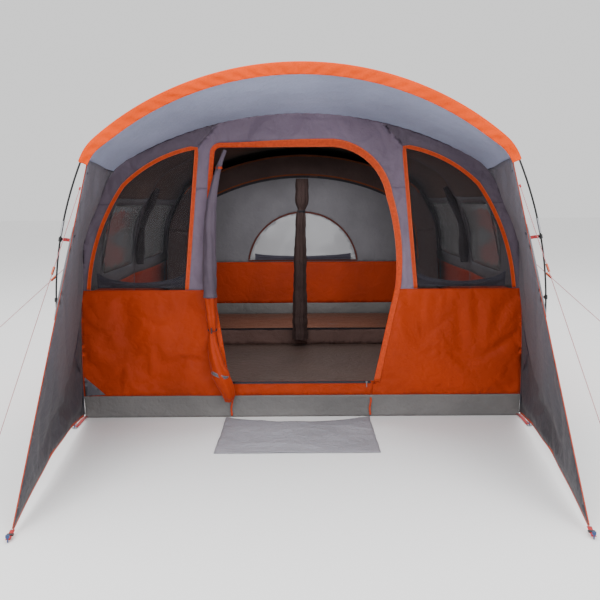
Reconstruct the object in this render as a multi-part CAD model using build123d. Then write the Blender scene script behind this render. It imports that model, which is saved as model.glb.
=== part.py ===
"""Tunnel tent on bent poles, with a porch canopy, side wings, a sleeping compartment and guylines.

Frame: millimetres, +Z up, origin at ground level in the middle of the groundsheet.
The doorway faces -Y and the rear wall +Y. "Depth" is the distance behind the front wall.
Arches and walls are drawn in an upright plane, x across and s up, and then put in place.
"""

from math import asin, atan2, cos, degrees, hypot, pi, radians, sin, sqrt
import os

from build123d import *

os.makedirs("parts", exist_ok=True)

# ---------------------------------------------------------------- driving dimensions
BODY_LENGTH = 4750.0            # front wall to rear wall
FRONT = -BODY_LENGTH / 2        # y of the front wall's outer face
REAR = BODY_LENGTH / 2          # y of the rear wall's outer face
HOOP_HEIGHT = 2030.0            # of the fly at its crown
CLOTH = 2.0                     # thickness given to every cloth panel
FILM = 1.0                      # thickness of window film and mesh
TAPE = 1.5                      # thickness of tapes and webbing

FLOOR_HALF = 1485.0             # half the groundsheet's width
TUB_TOP = 150.0                 # top of the groundsheet's upstand
SILL_TOP = 249.0                # top of the coloured band across the doorway
BAND_TOP = 850.0                # top of the coloured panels at the front and sides
REAR_BAND_TOP = 690.0           # top of the coloured panel at the rear
EAVE = 1500.0                   # seam between side panels and roof

POLE_R = 5.5                    # 11 mm fibreglass tube
POLE_BORE_R = 3.5
FERRULE_R = 7.0
FERRULE_LENGTH = 90.0
FERRULE_START = 1315.0          # along each leg of the front arch, its lower end
SLEEVE_R = 14.0                 # outside of the pole sleeves
SLEEVE_BORE_R = 8.0
POLE_OFFSET = -(SLEEVE_R + 1.0)  # the hoop poles run outside the fly
POLE_FOOT = 40.0                # height of every pole tube's lower end
POLE_PIECE = 600.0              # length of one tube, about
SLEEVE_FOOT = 420.0             # the hoop sleeves leave the legs bare below this
HOOP_DEPTHS = (20.0, 1550.0, 3000.0, BODY_LENGTH - 20.0)

ARCH_FOOT_Y = FRONT - 200.0     # the front arch stands ahead of the wall and leans forward
ARCH_RISE, ARCH_LEAN = 2197.0, 596.0
ARCH_CORNER = 1770.0            # where canopy and sleeve end, measured along the arch's plane
CANOPY_EAVE = 1660.0            # where the canopy's seam meets the front hoop

INNER_DEPTH = 2600.0            # front wall of the sleeping compartment
INNER_GAP = 100.0               # between fly and inner tent

WING_TOP = Vector(1215.0, FRONT - 655.0, 1655.0)    # free edge of the right wing, upper end
WING_TIP = Vector(1275.0, FRONT - 1815.0, 25.0)     # and lower end
WING_PEG = Vector(1268.0, FRONT - 1895.0, 0.0)

GUY_R = 2.0
CORNER_GUY = (Vector(1229.0, FRONT - 742.0, 1545.0), Vector(1640.0, FRONT - 1255.0, 30.0))
SIDE_GUY = (Vector(1499.0, FRONT + 20.0, 1100.0), Vector(2500.0, FRONT - 1003.0, 30.0))
RUNNER_SHARE = {"corner": 0.3, "side": 0.12}       # how far down its line each runner sits

LEFT, RIGHT = -1, 1
SIDES = {"left": LEFT, "right": RIGHT}


def save(name, *solids):
    """Write one node. Separate solids stay separate."""
    flat = [s for item in solids for s in (item if isinstance(item, (list, tuple)) else [item])]
    singles = [one for item in flat for one in item.solids()]
    export_step(Compound(children=singles) if len(singles) > 1 else singles[0], f"parts/{name}.step")


def flip(shape, side):
    """The given right-hand shape, or its mirror image on the left."""
    return shape if side == RIGHT else mirror(shape, about=Plane.YZ)


def box(x0, x1, y0, y1, z0, z1):
    return Pos((x0 + x1) / 2, (y0 + y1) / 2, (z0 + z1) / 2) * Box(x1 - x0, y1 - y0, z1 - z0)


def rod(start, end, radius, bore=0.0):
    """Straight round bar or tube between two points."""
    start, end = Vector(*start), Vector(*end)
    plane = Plane(origin=start, z_dir=end - start)
    profile = plane * (Circle(radius) - Circle(bore)) if bore else plane * Circle(radius)
    return extrude(profile, (end - start).length)


# ---------------------------------------------------------------- arches
def nested_circle(a, b, radius):
    """Circle (x, s, radius) that touches two larger circles from inside, on their upper right."""
    da, db = a[2] - radius, b[2] - radius
    gap = hypot(b[0] - a[0], b[1] - a[1])
    along = (da * da - db * db + gap * gap) / (2 * gap)
    aside = sqrt(da * da - along * along)
    ux, us = (b[0] - a[0]) / gap, (b[1] - a[1]) / gap
    found = [(a[0] + along * ux - k * aside * us, a[1] + along * us + k * aside * ux, radius)
             for k in (-1, 1)]
    return max(found, key=sum)


def touching_angle(a, b):
    """Angle of the normal that two circles share where they touch."""
    big, small = (a, b) if a[2] > b[2] else (b, a)
    return atan2(small[1] - big[1], small[0] - big[0])


class Arch:
    """Symmetric arch of tangent arcs. Offsets run inwards; circles run from foot to crown."""

    def __init__(self, circles):
        self.circles = circles
        self.turns = [touching_angle(a, b) for a, b in zip(circles, circles[1:])] + [pi / 2]

    def point(self, k, angle, offset, side=RIGHT):
        x, s, radius = self.circles[k]
        reach = radius - offset
        return Vector(side * (x + reach * cos(angle)), 0, s + reach * sin(angle))

    def spans(self, offset, low, high=None):
        """(circle, first angle, last angle) for each arc of the right half between two heights."""
        found = []
        for k, ((_, s, radius), turn) in enumerate(zip(self.circles, self.turns)):
            reach = radius - offset
            top = s + reach * sin(turn)
            if low >= top:
                continue
            first = self.turns[k - 1] if found else asin((low - s) / reach)
            last = turn if high is None or high > top else asin((high - s) / reach)
            found.append((k, first, last))
            if high is not None and high <= top:
                break
        return found

    def arc(self, k, first, last, offset, side=RIGHT):
        ends = [self.point(k, angle, offset, side) for angle in (first, (first + last) / 2, last)]
        return Edge.make_three_point_arc(*ends)

    def side_line(self, offset, low, high):
        return [self.arc(*span, offset) for span in self.spans(offset, low, high)]

    def over_line(self, offset, low):
        """From height low on the right, over the crown, to the same height on the left."""
        *lower, (crown, start, _) = self.spans(offset, low)
        line = [self.arc(*span, offset) for span in lower]
        line.append(self.arc(crown, start, pi - start, offset))
        return line + [self.arc(k, last, first, offset, LEFT) for k, first, last in reversed(lower)]

    def lengths(self, offset, low, piece):
        """(circle, first angle, last angle, side) of pole pieces, foot to foot."""
        *lower, (crown, start, _) = self.spans(offset, low)
        runs = [(*span, RIGHT) for span in lower] + [(crown, start, pi - start, RIGHT)]
        runs += [(k, last, first, LEFT) for k, first, last in reversed(lower)]
        cut = []
        for k, first, last, side in runs:
            count = max(1, round(abs(last - first) * (self.circles[k][2] - offset) / piece))
            step = (last - first) / count
            cut += [(k, first + i * step, first + (i + 1) * step, side) for i in range(count)]
        return cut

    def width(self, height, offset=0.0):
        k, angle, _ = self.spans(offset, height)[0]
        return self.point(k, angle, offset).X

    def tube(self, run, offset, radius, bore=0.0):
        k, first, last, side = run
        path = self.arc(k, first, last, offset, side)
        plane = Plane(origin=path @ 0, z_dir=path % 0)
        profile = plane * (Circle(radius) - Circle(bore)) if bore else plane * Circle(radius)
        return sweep(profile, path=path)


def between(outer, inner):
    """Face between two runs of edges that lie side by side."""
    first = Edge.make_line(outer[0] @ 0, inner[0] @ 0)
    last = Edge.make_line(outer[-1] @ 1, inner[-1] @ 1)
    return Face(Wire([*outer, last, *reversed(inner), first]))


def hoop_arch():
    """Legs near upright, sloping upper sides and a flat crown."""
    leg = (1490.0 - 9000.0, 300.0, 9000.0)
    slope = (-4026.5, -1213.5, 6000.0)
    crown = (0.0, HOOP_HEIGHT - 2350.0, 2350.0)
    return Arch([leg, nested_circle(leg, slope, 500.0), slope, nested_circle(slope, crown, 350.0), crown])


def front_arch():
    lower_leg = (1515.0 - 5200.0, 600.0, 5200.0)
    upper_leg = (1515.0 - 2600.0, 600.0, 2600.0)
    crown = (0.0, hypot(ARCH_RISE, ARCH_LEAN) - 1850.0, 1850.0)
    return Arch([lower_leg, upper_leg, nested_circle(upper_leg, crown, 320.0), crown])


HOOP, ARCH = hoop_arch(), front_arch()
ARCH_TILT = degrees(atan2(ARCH_LEAN, ARCH_RISE))
ARCH_PLACE = Pos(0, ARCH_FOOT_Y, 0) * Rot(X=ARCH_TILT)


def arch_point(x, s, ahead=0.0):
    """Point of the front arch's plane, in the part's frame; ahead is measured off the plane."""
    tilt = radians(ARCH_TILT)
    return Vector(x, ARCH_FOOT_Y - s * sin(tilt) - ahead * cos(tilt), s * cos(tilt) - ahead * sin(tilt))


def upright(face, y, thickness):
    """A face drawn at y = 0, moved to y and given a thickness towards +Y."""
    return Pos(0, y, 0) * extrude(face, thickness, dir=(0, 1, 0))


def drawn(*edges):
    """Face inside a closed run of edges."""
    return Face(Wire(edges))


def at(x, z):
    return Vector(x, 0, z)


def line(*points):
    return [Edge.make_line(a, b) for a, b in zip(points, points[1:])]


# ---------------------------------------------------------------- poles
def pole_set():
    """Every pole as tube pieces, and a ferrule on each bare leg of the front arch."""
    places = {f"hoop_pole_{n}": (HOOP, POLE_OFFSET, Pos(0, FRONT + depth, 0))
              for n, depth in zip(("front", "second", "third", "rear"), HOOP_DEPTHS)}
    places["front_arch_pole"] = (ARCH, 0.0, ARCH_PLACE)
    for name, (arch, offset, place) in places.items():
        runs = arch.lengths(offset, POLE_FOOT, POLE_PIECE)
        save(name, [place * arch.tube(run, offset, POLE_R, POLE_BORE_R) for run in runs])
    ferrule_run = ARCH.spans(0.0, FERRULE_START, FERRULE_START + FERRULE_LENGTH)[0]
    save("pole_ferrules", [ARCH_PLACE * ARCH.tube((*ferrule_run, side), 0.0, FERRULE_R, POLE_R + 0.1)
                           for side in SIDES.values()])


def sleeves():
    """Fabric sleeves along the upper part of the hoop poles."""
    pieces = [HOOP.tube(run, POLE_OFFSET, SLEEVE_R, SLEEVE_BORE_R)
              for run in HOOP.lengths(POLE_OFFSET, SLEEVE_FOOT, 9000.0)]
    save("hoop_sleeves", [Pos(0, FRONT + depth, 0) * piece for depth in HOOP_DEPTHS for piece in pieces])


PIN_R = 3.0
PIN_TOP = POLE_FOOT + 50
FOOT_TAB = (46.0, 25.0)         # length and width of the webbing tab under each pole foot


def pole_foot_pins():
    """A steel pin in each pole end."""
    pins = []
    hoop_ends = [(HOOP.width(z, POLE_OFFSET), z) for z in (TAPE + 0.3, PIN_TOP)]
    for depth in HOOP_DEPTHS:
        pins.append(rod(*[(x, FRONT + depth, z) for x, z in hoop_ends], PIN_R))
    pins.append(rod(*[arch_point(ARCH.width(s), s) for s in (TAPE + 1.2, PIN_TOP)], PIN_R))
    save("pole_foot_pins", pins, [flip(pin, LEFT) for pin in pins])


def foot_tabs():
    """Webbing tabs sewn to the groundsheet under the hoop poles' feet."""
    length, width = FOOT_TAB
    tabs = [box(FLOOR_HALF, FLOOR_HALF + length, FRONT + depth - width / 2, FRONT + depth + width / 2,
                0, TAPE) for depth in HOOP_DEPTHS]
    return tabs + [flip(tab, LEFT) for tab in tabs]


# ---------------------------------------------------------------- cloth panels
def wall_face(low, high=None, offset=0.0):
    """The tunnel's cross-section above one height, or between two."""
    over = HOOP.over_line(offset, low)
    face = drawn(*over, Edge.make_line(over[-1] @ 1, over[0] @ 0))
    if high is None:
        return face
    return face & Plane.XZ * Pos(0, (low + high) / 2) * Rectangle(4000, high - low)


def side_strip(low, high, y0, y1, offset=0.0, thickness=CLOTH):
    """Right-hand side panel between two heights."""
    outer, inner = (HOOP.side_line(d, low, high) for d in (offset, offset + thickness))
    return upright(between(outer, inner), y0, y1 - y0)


def roof_strip(low, y0, y1, offset=0.0, thickness=CLOTH):
    outer, inner = (HOOP.over_line(d, low) for d in (offset, offset + thickness))
    return upright(between(outer, inner), y0, y1 - y0)


IN_FRONT, IN_REAR = FRONT + CLOTH, REAR - CLOTH     # the tunnel's panels run between the end walls
SIDE_WINDOW = (950.0, 1450.0)                       # heights
SIDE_WINDOW_DEPTHS = ((420.0, 1430.0), (1670.0, 2860.0), (3130.0, 4250.0))


def groundsheet():
    floor = box(-FLOOR_HALF, FLOOR_HALF, FRONT, REAR, 0, CLOTH)
    ends = [upright(wall_face(CLOTH, TUB_TOP), y, CLOTH) for y in (FRONT, IN_REAR)]
    side = side_strip(CLOTH, TUB_TOP, IN_FRONT, IN_REAR)
    save("groundsheet", floor, ends, side, flip(side, LEFT))


def tunnel():
    """The fly between the end walls: roof bays, side panels and side windows."""
    edges = (IN_FRONT, *(FRONT + depth for depth in HOOP_DEPTHS[1:3]), IN_REAR)
    save("fly_roof", [roof_strip(EAVE, *bay) for bay in zip(edges, edges[1:])])
    lower = side_strip(TUB_TOP, BAND_TOP, IN_FRONT, IN_REAR)
    upper = side_strip(BAND_TOP, EAVE, IN_FRONT, IN_REAR)
    gap = (CLOTH - FILM) / 2
    films = []
    for near, far in SIDE_WINDOW_DEPTHS:
        opening = box(0, 2000, FRONT + near, FRONT + far, *SIDE_WINDOW)
        upper -= opening
        films.append(side_strip(*SIDE_WINDOW, FRONT + near, FRONT + far, gap, FILM))
    save("side_lower_panels", lower, flip(lower, LEFT))
    save("side_upper_panels", upper, flip(upper, LEFT))
    save("side_windows", films, [flip(film, LEFT) for film in films])


# ---------------------------------------------------------------- front wall
DOOR_LEFT_FOOT, DOOR_RIGHT_FOOT = at(-492, SILL_TOP), at(489, SILL_TOP)
SILL_FOOT = (-486.0, 476.0)
DOOR_TRIM, WINDOW_TRIM = 48.0, 30.0


def stand(face):
    """A face drawn flat, stood up so that its y becomes the height."""
    return Rot(X=90) * face


def door_face(grow=0.0):
    """The doorway: bowed left side, rounded right side. Drawn flat."""
    points = [(-492, SILL_TOP), (-580, BAND_TOP), (-562, 1770), (-520, 1813), (215, 1813),
              (563, 1490), (630, 900), (489, SILL_TOP)]
    edges = [Edge.make_line(points[0], points[1]),
             Edge.make_three_point_arc(points[1], (-594, 1240), points[2]),
             Edge.make_three_point_arc(points[2], (-551, 1800), points[3]),
             Edge.make_line(points[3], points[4]),
             Edge.make_three_point_arc(points[4], (440, 1716), points[5]),
             Edge.make_three_point_arc(points[5], (624, 1210), points[6]),
             Edge.make_line(points[6], points[7]),
             Edge.make_line(points[7], points[0])]
    face = Face(Wire(edges))
    return offset(face, grow).face() if grow else face


def window_face(grow=0.0):
    """Right-hand front window: follows the hoop on its outer side. Drawn flat."""
    points = [(777, 880), (690, 1800), (1160, 1560), (1400, 960), (1410, 880)]
    edges = [Edge.make_line(points[0], points[1]),
             Edge.make_three_point_arc(points[1], (950, 1712), points[2]),
             Edge.make_three_point_arc(points[2], (1310, 1290), points[3]),
             Edge.make_line(points[3], points[4]),
             Edge.make_line(points[4], points[0])]
    face = Face(Wire(edges))
    return offset(face, grow).face() if grow else face


def front_wall():
    door, window = stand(door_face()), stand(window_face())
    sill = drawn(*line(at(SILL_FOOT[0], TUB_TOP), at(SILL_FOOT[1], TUB_TOP), DOOR_RIGHT_FOOT,
                       DOOR_LEFT_FOOT, at(SILL_FOOT[0], TUB_TOP)))
    lower = wall_face(TUB_TOP, BAND_TOP) - door - sill
    save("front_wall_lower", [upright(face, FRONT, CLOTH) for face in (*lower.faces(), sill)])
    frame = wall_face(BAND_TOP) - door - window - flip(window, LEFT)
    save("front_wall_frame", upright(frame, FRONT, CLOTH))

    ahead = FRONT - TAPE
    trim = stand(door_face(DOOR_TRIM)) - door
    trim -= Plane.XZ * Pos(0, SILL_TOP / 2) * Rectangle(4000, SILL_TOP)
    save("door_trim", upright(trim, ahead, TAPE))
    window_trim = upright(stand(window_face(WINDOW_TRIM)) - window, ahead, TAPE)
    mesh = upright(window, FRONT + (CLOTH - FILM) / 2, FILM)
    save("front_window_trims", window_trim, flip(window_trim, LEFT))
    save("front_window_mesh", mesh, flip(mesh, LEFT))


def roll(*stations):
    """Rolled cloth: round sections (x, y, z, radius) joined end to end."""
    points = [Vector(*station[:3]) for station in stations]
    sections = []
    for i, (point, station) in enumerate(zip(points, stations)):
        ahead = points[min(i + 1, len(points) - 1)] - points[max(i - 1, 0)]
        sections.append(Plane(origin=point, z_dir=ahead) * Circle(station[3]))
    return loft([section.face() for section in sections], ruled=True)


def front_rolls():
    """The rolled door on the left of the doorway and the rolled blinds inside the windows."""
    y = FRONT - TAPE
    upper = roll((-490, y - 20, 1795, 14), (-545, y - 28, 1640, 24),
                 (-590, y - 42, 1400, 38), (-604, y - 50, 1100, 46), (-606, y - 50, 832, 46))
    lower = roll((-606, y - 50, 826, 46), (-598, y - 42, 640, 38), (-596, y - 30, 600, 26),
                 (-592, y - 46, 500, 42), (-550, y - 66, 330, 62), (-500, y - 60, 200, 55),
                 (-495, y - 40, 130, 34))
    save("door_roll", upper, lower)
    y = IN_FRONT + 40
    blind = roll((790, y, 975, 10), (850, y, 935, 26), (985, y, 900, 36), (1085, y, 890, 20),
                 (1185, y, 900, 36), (1310, y, 935, 26), (1372, y, 975, 10))
    save("front_window_blinds", blind, flip(blind, LEFT))


# ---------------------------------------------------------------- rear wall
REAR_WINDOW_HALF, REAR_WINDOW_FOOT, REAR_WINDOW_TOP = 690.0, 720.0, 1320.0
REAR_TRIM = 14.0


def rear_window_face(grow=0.0):
    """Half-round window. Drawn flat."""
    half, foot, top = (REAR_WINDOW_HALF + grow, REAR_WINDOW_FOOT - grow, REAR_WINDOW_TOP + grow)
    ends = (-half, foot), (half, foot)
    return Face(Wire([Edge.make_line(*ends), Edge.make_three_point_arc(ends[1], (0, top), ends[0])]))


def rear_wall():
    window, around = stand(rear_window_face()), stand(rear_window_face(REAR_TRIM))
    save("rear_wall_lower", upright(wall_face(TUB_TOP, REAR_BAND_TOP), IN_REAR, CLOTH))
    save("rear_wall_upper", upright(wall_face(REAR_BAND_TOP) - around, IN_REAR, CLOTH))
    save("rear_window_trim", upright(around - window, IN_REAR - TAPE, CLOTH + 2 * TAPE))
    save("rear_window_film", upright(window, IN_REAR + (CLOTH - FILM) / 2, FILM))
    y = IN_REAR - 30
    half = [(620, y, 785, 8), (500, y, 763, 17), (250, y, 746, 20)]
    middle = (0, y, 740, 20)
    save("rear_window_blind", roll(*[(-x, *rest) for x, *rest in half], middle, *reversed(half)))


# ---------------------------------------------------------------- inside
LIP_TOP = 165.0                 # of the sleeping compartment's low front edge
OPENING_GAP = 320.0             # between the fly and the sleeping compartment's opening
INNER_Y = FRONT + INNER_DEPTH
SIDE_ROLL_GAP = 50.0


def inner_tent():
    low = 2 * CLOTH
    save("bedroom_floor", box(-1370, 1370, INNER_Y + CLOTH, IN_REAR - 2, CLOTH, low))
    frame = wall_face(low, offset=INNER_GAP) - wall_face(LIP_TOP, offset=OPENING_GAP)
    lip = frame & Plane.XZ * Pos(0, (low + LIP_TOP) / 2) * Rectangle(4000, LIP_TOP - low)
    header = frame & Plane.XZ * Pos(0, (LIP_TOP + 2100) / 2) * Rectangle(4000, 2100 - LIP_TOP)
    save("inner_door_panel", upright(lip, INNER_Y, CLOTH), upright(header, INNER_Y, CLOTH))
    save("inner_tent_shell", roof_strip(low, INNER_Y + CLOTH, IN_REAR - 2, INNER_GAP))
    y = INNER_Y - 90
    save("divider_curtain_roll", roll((0, y, 1690, 46), (-4, y, 1450, 58), (-8, y, 1365, 32),
                                      (-14, y, 1280, 58), (-26, y, 700, 66), (-30, y, 300, 76),
                                      (-32, y, 75, 82)))
    save("curtain_tie", rod((-8, y, 1356), (-8, y, 1374), 45, 40))


def side_rolls():
    """Upright rolled curtains at the second and third hoops."""
    foot, top = SIDE_WINDOW[0] - 20, SIDE_WINDOW[1] + 130
    shape = ((top, 18), (top - 120, 32), ((top + foot) / 2, 22), (foot + 120, 38), (foot, 28))
    rolls = [roll(*[(HOOP.width(z, SIDE_ROLL_GAP), FRONT + depth, z, radius) for z, radius in shape])
             for depth in HOOP_DEPTHS[1:3]]
    save("side_curtain_rolls", rolls, [flip(one, LEFT) for one in rolls])


# ---------------------------------------------------------------- canopy and wings
CANOPY_BAND = 54.0              # depth of the coloured band below the front arch
WING_LEVELS = 7


def canopy():
    rear = between(HOOP.over_line(0, CANOPY_EAVE), HOOP.over_line(CLOTH, CANOPY_EAVE))
    under = SLEEVE_R + 0.5
    front = between(ARCH.over_line(under, ARCH_CORNER), ARCH.over_line(under + CLOTH, ARCH_CORNER))
    save("canopy_roof", loft([Pos(0, FRONT - 0.5, 0) * rear, ARCH_PLACE * front], ruled=True))
    band = between(ARCH.over_line(under, ARCH_CORNER - 20), ARCH.over_line(CANOPY_BAND, ARCH_CORNER - 20))
    tubes = [ARCH_PLACE * ARCH.tube(run, 0.0, SLEEVE_R, SLEEVE_BORE_R)
             for run in ARCH.lengths(0.0, ARCH_CORNER, 9000.0)]
    save("canopy_pole_sleeve", tubes, ARCH_PLACE * upright(band, -CLOTH - 0.5, CLOTH))


def strap(start, end, width, facing, thickness=TAPE):
    """Flat webbing between two points, its broad side towards facing."""
    start, end = Vector(*start), Vector(*end)
    place = Plane(origin=(start + end) / 2, x_dir=end - start, z_dir=Vector(*facing))
    return place * Box((end - start).length, width, thickness)


def wings():
    """Triangular side panels from the front hoop to a peg out in front."""
    low, high = WING_TIP.Z - 5, WING_TOP.Z
    sections = []
    for i in range(WING_LEVELS):
        z = low + (high - low) * i / (WING_LEVELS - 1)
        free = WING_TOP + (WING_TIP - WING_TOP) * ((WING_TOP.Z - z) / (WING_TOP.Z - WING_TIP.Z))
        hoop = Vector(HOOP.width(z, CLOTH), FRONT - 0.5, z)
        across = Vector(CLOTH, 0, 0)
        corners = [hoop, hoop + across, Vector(free.X, free.Y, z) + across, Vector(free.X, free.Y, z)]
        sections.append(Face(Wire.make_polygon(corners)))
    panel = loft(sections, ruled=True)
    under = [Vector(0, FRONT + 5, 20), Vector(0, FRONT - 950, 100), Vector(0, WING_TIP.Y - 15, 20)]
    hollow = Face(Wire([Edge.make_three_point_arc(*under),
                        *line(under[2], Vector(0, under[2].Y, -50), Vector(0, under[0].Y, -50), under[0])]))
    panel -= extrude(hollow, 2000, dir=(1, 0, 0))
    outward = Vector(1, 0, 0)
    ahead = Vector(0, -1, 0) * 10
    tape = strap(WING_TOP + ahead, WING_TIP + ahead + Vector(0, 0, 10), 16, outward, CLOTH)
    for word, side in SIDES.items():
        save(f"wing_{word}", flip(panel, side))
    save("wing_edge_tapes", tape, flip(tape, LEFT))


# ---------------------------------------------------------------- fittings
CLIP_HEIGHTS = (860.0, 1235.0)
CLIP = {"outer": 10.5, "bore": 6.0, "length": 22.0}
TAB_WIDTH = 20.0


def pole_clips():
    """Hooks that hold the wings to the front arch. Returns the webbing tabs they hang on."""
    clips, tabs = [], []
    rise = cos(radians(ARCH_TILT))
    bore = CLIP["bore"]
    for height in CLIP_HEIGHTS:
        s = height / rise
        here, above = (arch_point(ARCH.width(h), h) for h in (s, s + CLIP["length"]))
        y, z = here.Y + 8, height + 9
        arm = box(here.X - 40, here.X - bore - 1, y - 4, y + 4, z - 5, z + 5) - rod(here, above, bore)
        clips.append(rod(here, above, CLIP["outer"], bore) + arm)
        tabs.append(strap((here.X - 40.5, y, z), (here.X - 74, y, z), TAB_WIDTH, (0, -1, 0)))
    save("pole_clips", clips, [flip(clip, LEFT) for clip in clips])
    return tabs + [flip(tab, LEFT) for tab in tabs]


PEG_STEM_R, PEG_HEAD_R = 3.0, 9.0


def peg(foot):
    """The part of a peg above the ground: stem and round head."""
    stem = rod(foot, foot + Vector(0, 0, 30), PEG_STEM_R)
    return stem + rod(foot + Vector(0, 0, 22), foot + Vector(0, 0, 34), PEG_HEAD_R)


def wing_anchors():
    """Buckle and peg at the foot of each wing. Returns the webbing between them."""
    level = Vector(WING_PEG.X - WING_TIP.X, WING_PEG.Y - WING_TIP.Y, 0).normalized()
    start = WING_TIP + level * 8
    end = Vector(WING_PEG.X, WING_PEG.Y, 12) - level * (PEG_STEM_R + 0.5)
    middle, gap = (start + end) / 2, (end - start).normalized() * 9
    up = (0, 0, 1)
    straps = [strap(start, middle - gap, 22, up), strap(middle + gap, end, 22, up)]
    buckle = strap(middle - gap, middle + gap, 30, up, 6)
    save("wing_strap_buckles", buckle, flip(buckle, LEFT))
    return straps + [flip(one, LEFT) for one in straps]


def corner_anchors():
    """Rings at the front corners. Returns the webbing from the groundsheet to the arch's feet."""
    foot_x = ARCH.width(0)
    base = strap((FLOOR_HALF - 12, FRONT - 2, 14), (foot_x - 4, ARCH_FOOT_Y + 24, 8), 25, (0, 0, 1))
    pad = box(foot_x - 14, foot_x + 14, ARCH_FOOT_Y - 24, ARCH_FOOT_Y + 6, 0, TAPE)
    ring = Pos(*CORNER_RING) * Torus(15, 2.5)
    save("corner_rings", ring, flip(ring, LEFT))
    straps = [base, pad]
    return straps + [flip(one, LEFT) for one in straps]


CORNER_RING = Vector(ARCH.width(0) + 2, ARCH_FOOT_Y - 44, 4)
CORNER_PEG = Vector(CORNER_RING.X, CORNER_RING.Y - 8, 0)


def tent_pegs():
    pegs = [peg(foot) for foot in (WING_PEG, CORNER_PEG)]
    save("tent_pegs", pegs, [flip(one, LEFT) for one in pegs])


KNOT = {"radius": 5.0, "length": 16.0}
RUNNER = {"size": (14.0, 9.0, 46.0), "clearance": 0.4}


def guylines():
    """Each line runs straight from a loop on the tent to a peg, through its own runner."""
    loops, pegs = [], []
    for kind, (start, end) in {"corner": CORNER_GUY, "side": SIDE_GUY}.items():
        run = (end - start).normalized()
        length = KNOT["length"]
        loop = rod(start, start + run * length, KNOT["radius"])
        knot = rod(end - run * length, end, KNOT["radius"])
        foot = Vector(end.X, end.Y, 0)
        for word, side in SIDES.items():
            loops.append(flip(loop, side))
            pegs.append(flip(peg(foot) + knot, side))
            line_start, line_end = start + run * length, end - run * length
            save(f"guyline_{kind}_{word}", flip(rod(line_start, line_end, GUY_R), side))
            middle = start + (end - start) * RUNNER_SHARE[kind]
            place = Plane(origin=middle, z_dir=run)
            body = place * Box(*RUNNER["size"]) - rod(line_start, line_end, GUY_R + RUNNER["clearance"])
            save(f"guy_runner_{kind}_{word}", flip(body, side))
    save("guy_loops", loops)
    save("guy_pegs", pegs)


TOGGLE_R, TOGGLE_LENGTH = 5.0, 38.0
TOGGLES = {"upper": (-540.0, -68.0, 1680.0), "lower": (-596.0, -94.0, 615.0)}  # y is from the wall
ZIP_Z = 241.0
ZIP_PARK_X = 440.0


def door_fittings():
    """Toggles that hold the rolled door, and the door's zip along the sill."""
    half = Vector(0, 0, TOGGLE_LENGTH / 2)
    for word, place in TOGGLES.items():
        middle = Vector(*place) + Vector(0, FRONT, 0)
        save(f"door_toggle_{word}", rod(middle - half, middle + half, TOGGLE_R))
    save("door_zip_track", box(-470, 468, FRONT - TAPE, FRONT, ZIP_Z - 5, ZIP_Z + 5))
    y = FRONT - TAPE - 0.3
    slider = box(ZIP_PARK_X - 7, ZIP_PARK_X + 7, y - 5, y, ZIP_Z - 5, ZIP_Z + 5)
    slider += box(ZIP_PARK_X - 5, ZIP_PARK_X - 3.5, y - 9, y - 4, ZIP_Z - 3, ZIP_Z + 3)
    slider += box(ZIP_PARK_X + 3.5, ZIP_PARK_X + 5, y - 9, y - 4, ZIP_Z - 3, ZIP_Z + 3)
    save("door_zip_slider", slider)
    hinge_y = y - 7.5
    tag = rod((ZIP_PARK_X - 3, hinge_y, ZIP_Z), (ZIP_PARK_X + 3, hinge_y, ZIP_Z), 1.4)
    tag += box(ZIP_PARK_X - 2.5, ZIP_PARK_X + 2.5, hinge_y - 1, hinge_y + 1, ZIP_Z - 34, ZIP_Z)
    save("door_zip_puller", tag)


MAT_LEFT, MAT_RIGHT = -515.0, 460.0
MAT_NEAR, MAT_FAR, MAT_DIP = 760.0, 24.0, 130.0
MAT_THICK = 3.0


def doormat():
    """Small sheet in front of the doorway, tied up at its two rear corners."""
    corners = [Vector(MAT_LEFT, FRONT - MAT_FAR), Vector(MAT_LEFT, FRONT - MAT_NEAR),
               Vector(MAT_RIGHT, FRONT - MAT_NEAR), Vector(MAT_RIGHT, FRONT - MAT_FAR)]
    dip = Edge.make_three_point_arc(corners[3], (0, FRONT - MAT_DIP), corners[0])
    outline = Face(Wire([*[Edge.make_line(a, b) for a, b in zip(corners, corners[1:])], dip]))
    save("doormat", extrude(outline, MAT_THICK, dir=(0, 0, 1)))
    ties = [strap((SILL_FOOT[0] + 8, FRONT - 1, 132), (SILL_FOOT[0] + 4, FRONT - 14, 8), 12, (0, -1, 0)),
            strap((SILL_FOOT[1] - 8, FRONT - 1, 132), (SILL_FOOT[1] - 14, FRONT - 14, 8), 12, (0, -1, 0))]
    save("mat_ties", ties)


if __name__ == "__main__":
    pole_set()
    sleeves()
    pole_foot_pins()
    groundsheet()
    tunnel()
    front_wall()
    front_rolls()
    rear_wall()
    inner_tent()
    side_rolls()
    canopy()
    wings()
    save("webbing_straps", foot_tabs(), pole_clips(), wing_anchors(), corner_anchors())
    tent_pegs()
    guylines()
    door_fittings()
    doormat()
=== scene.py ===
"""Looks of the tunnel tent: cloth, tapes, rolls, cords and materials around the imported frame.

Metres, +Z up, origin at ground level in the middle of the groundsheet, doorway towards -Y.
"""

import bisect
import math
import random

import bpy
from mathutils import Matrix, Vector, geometry, noise


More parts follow.
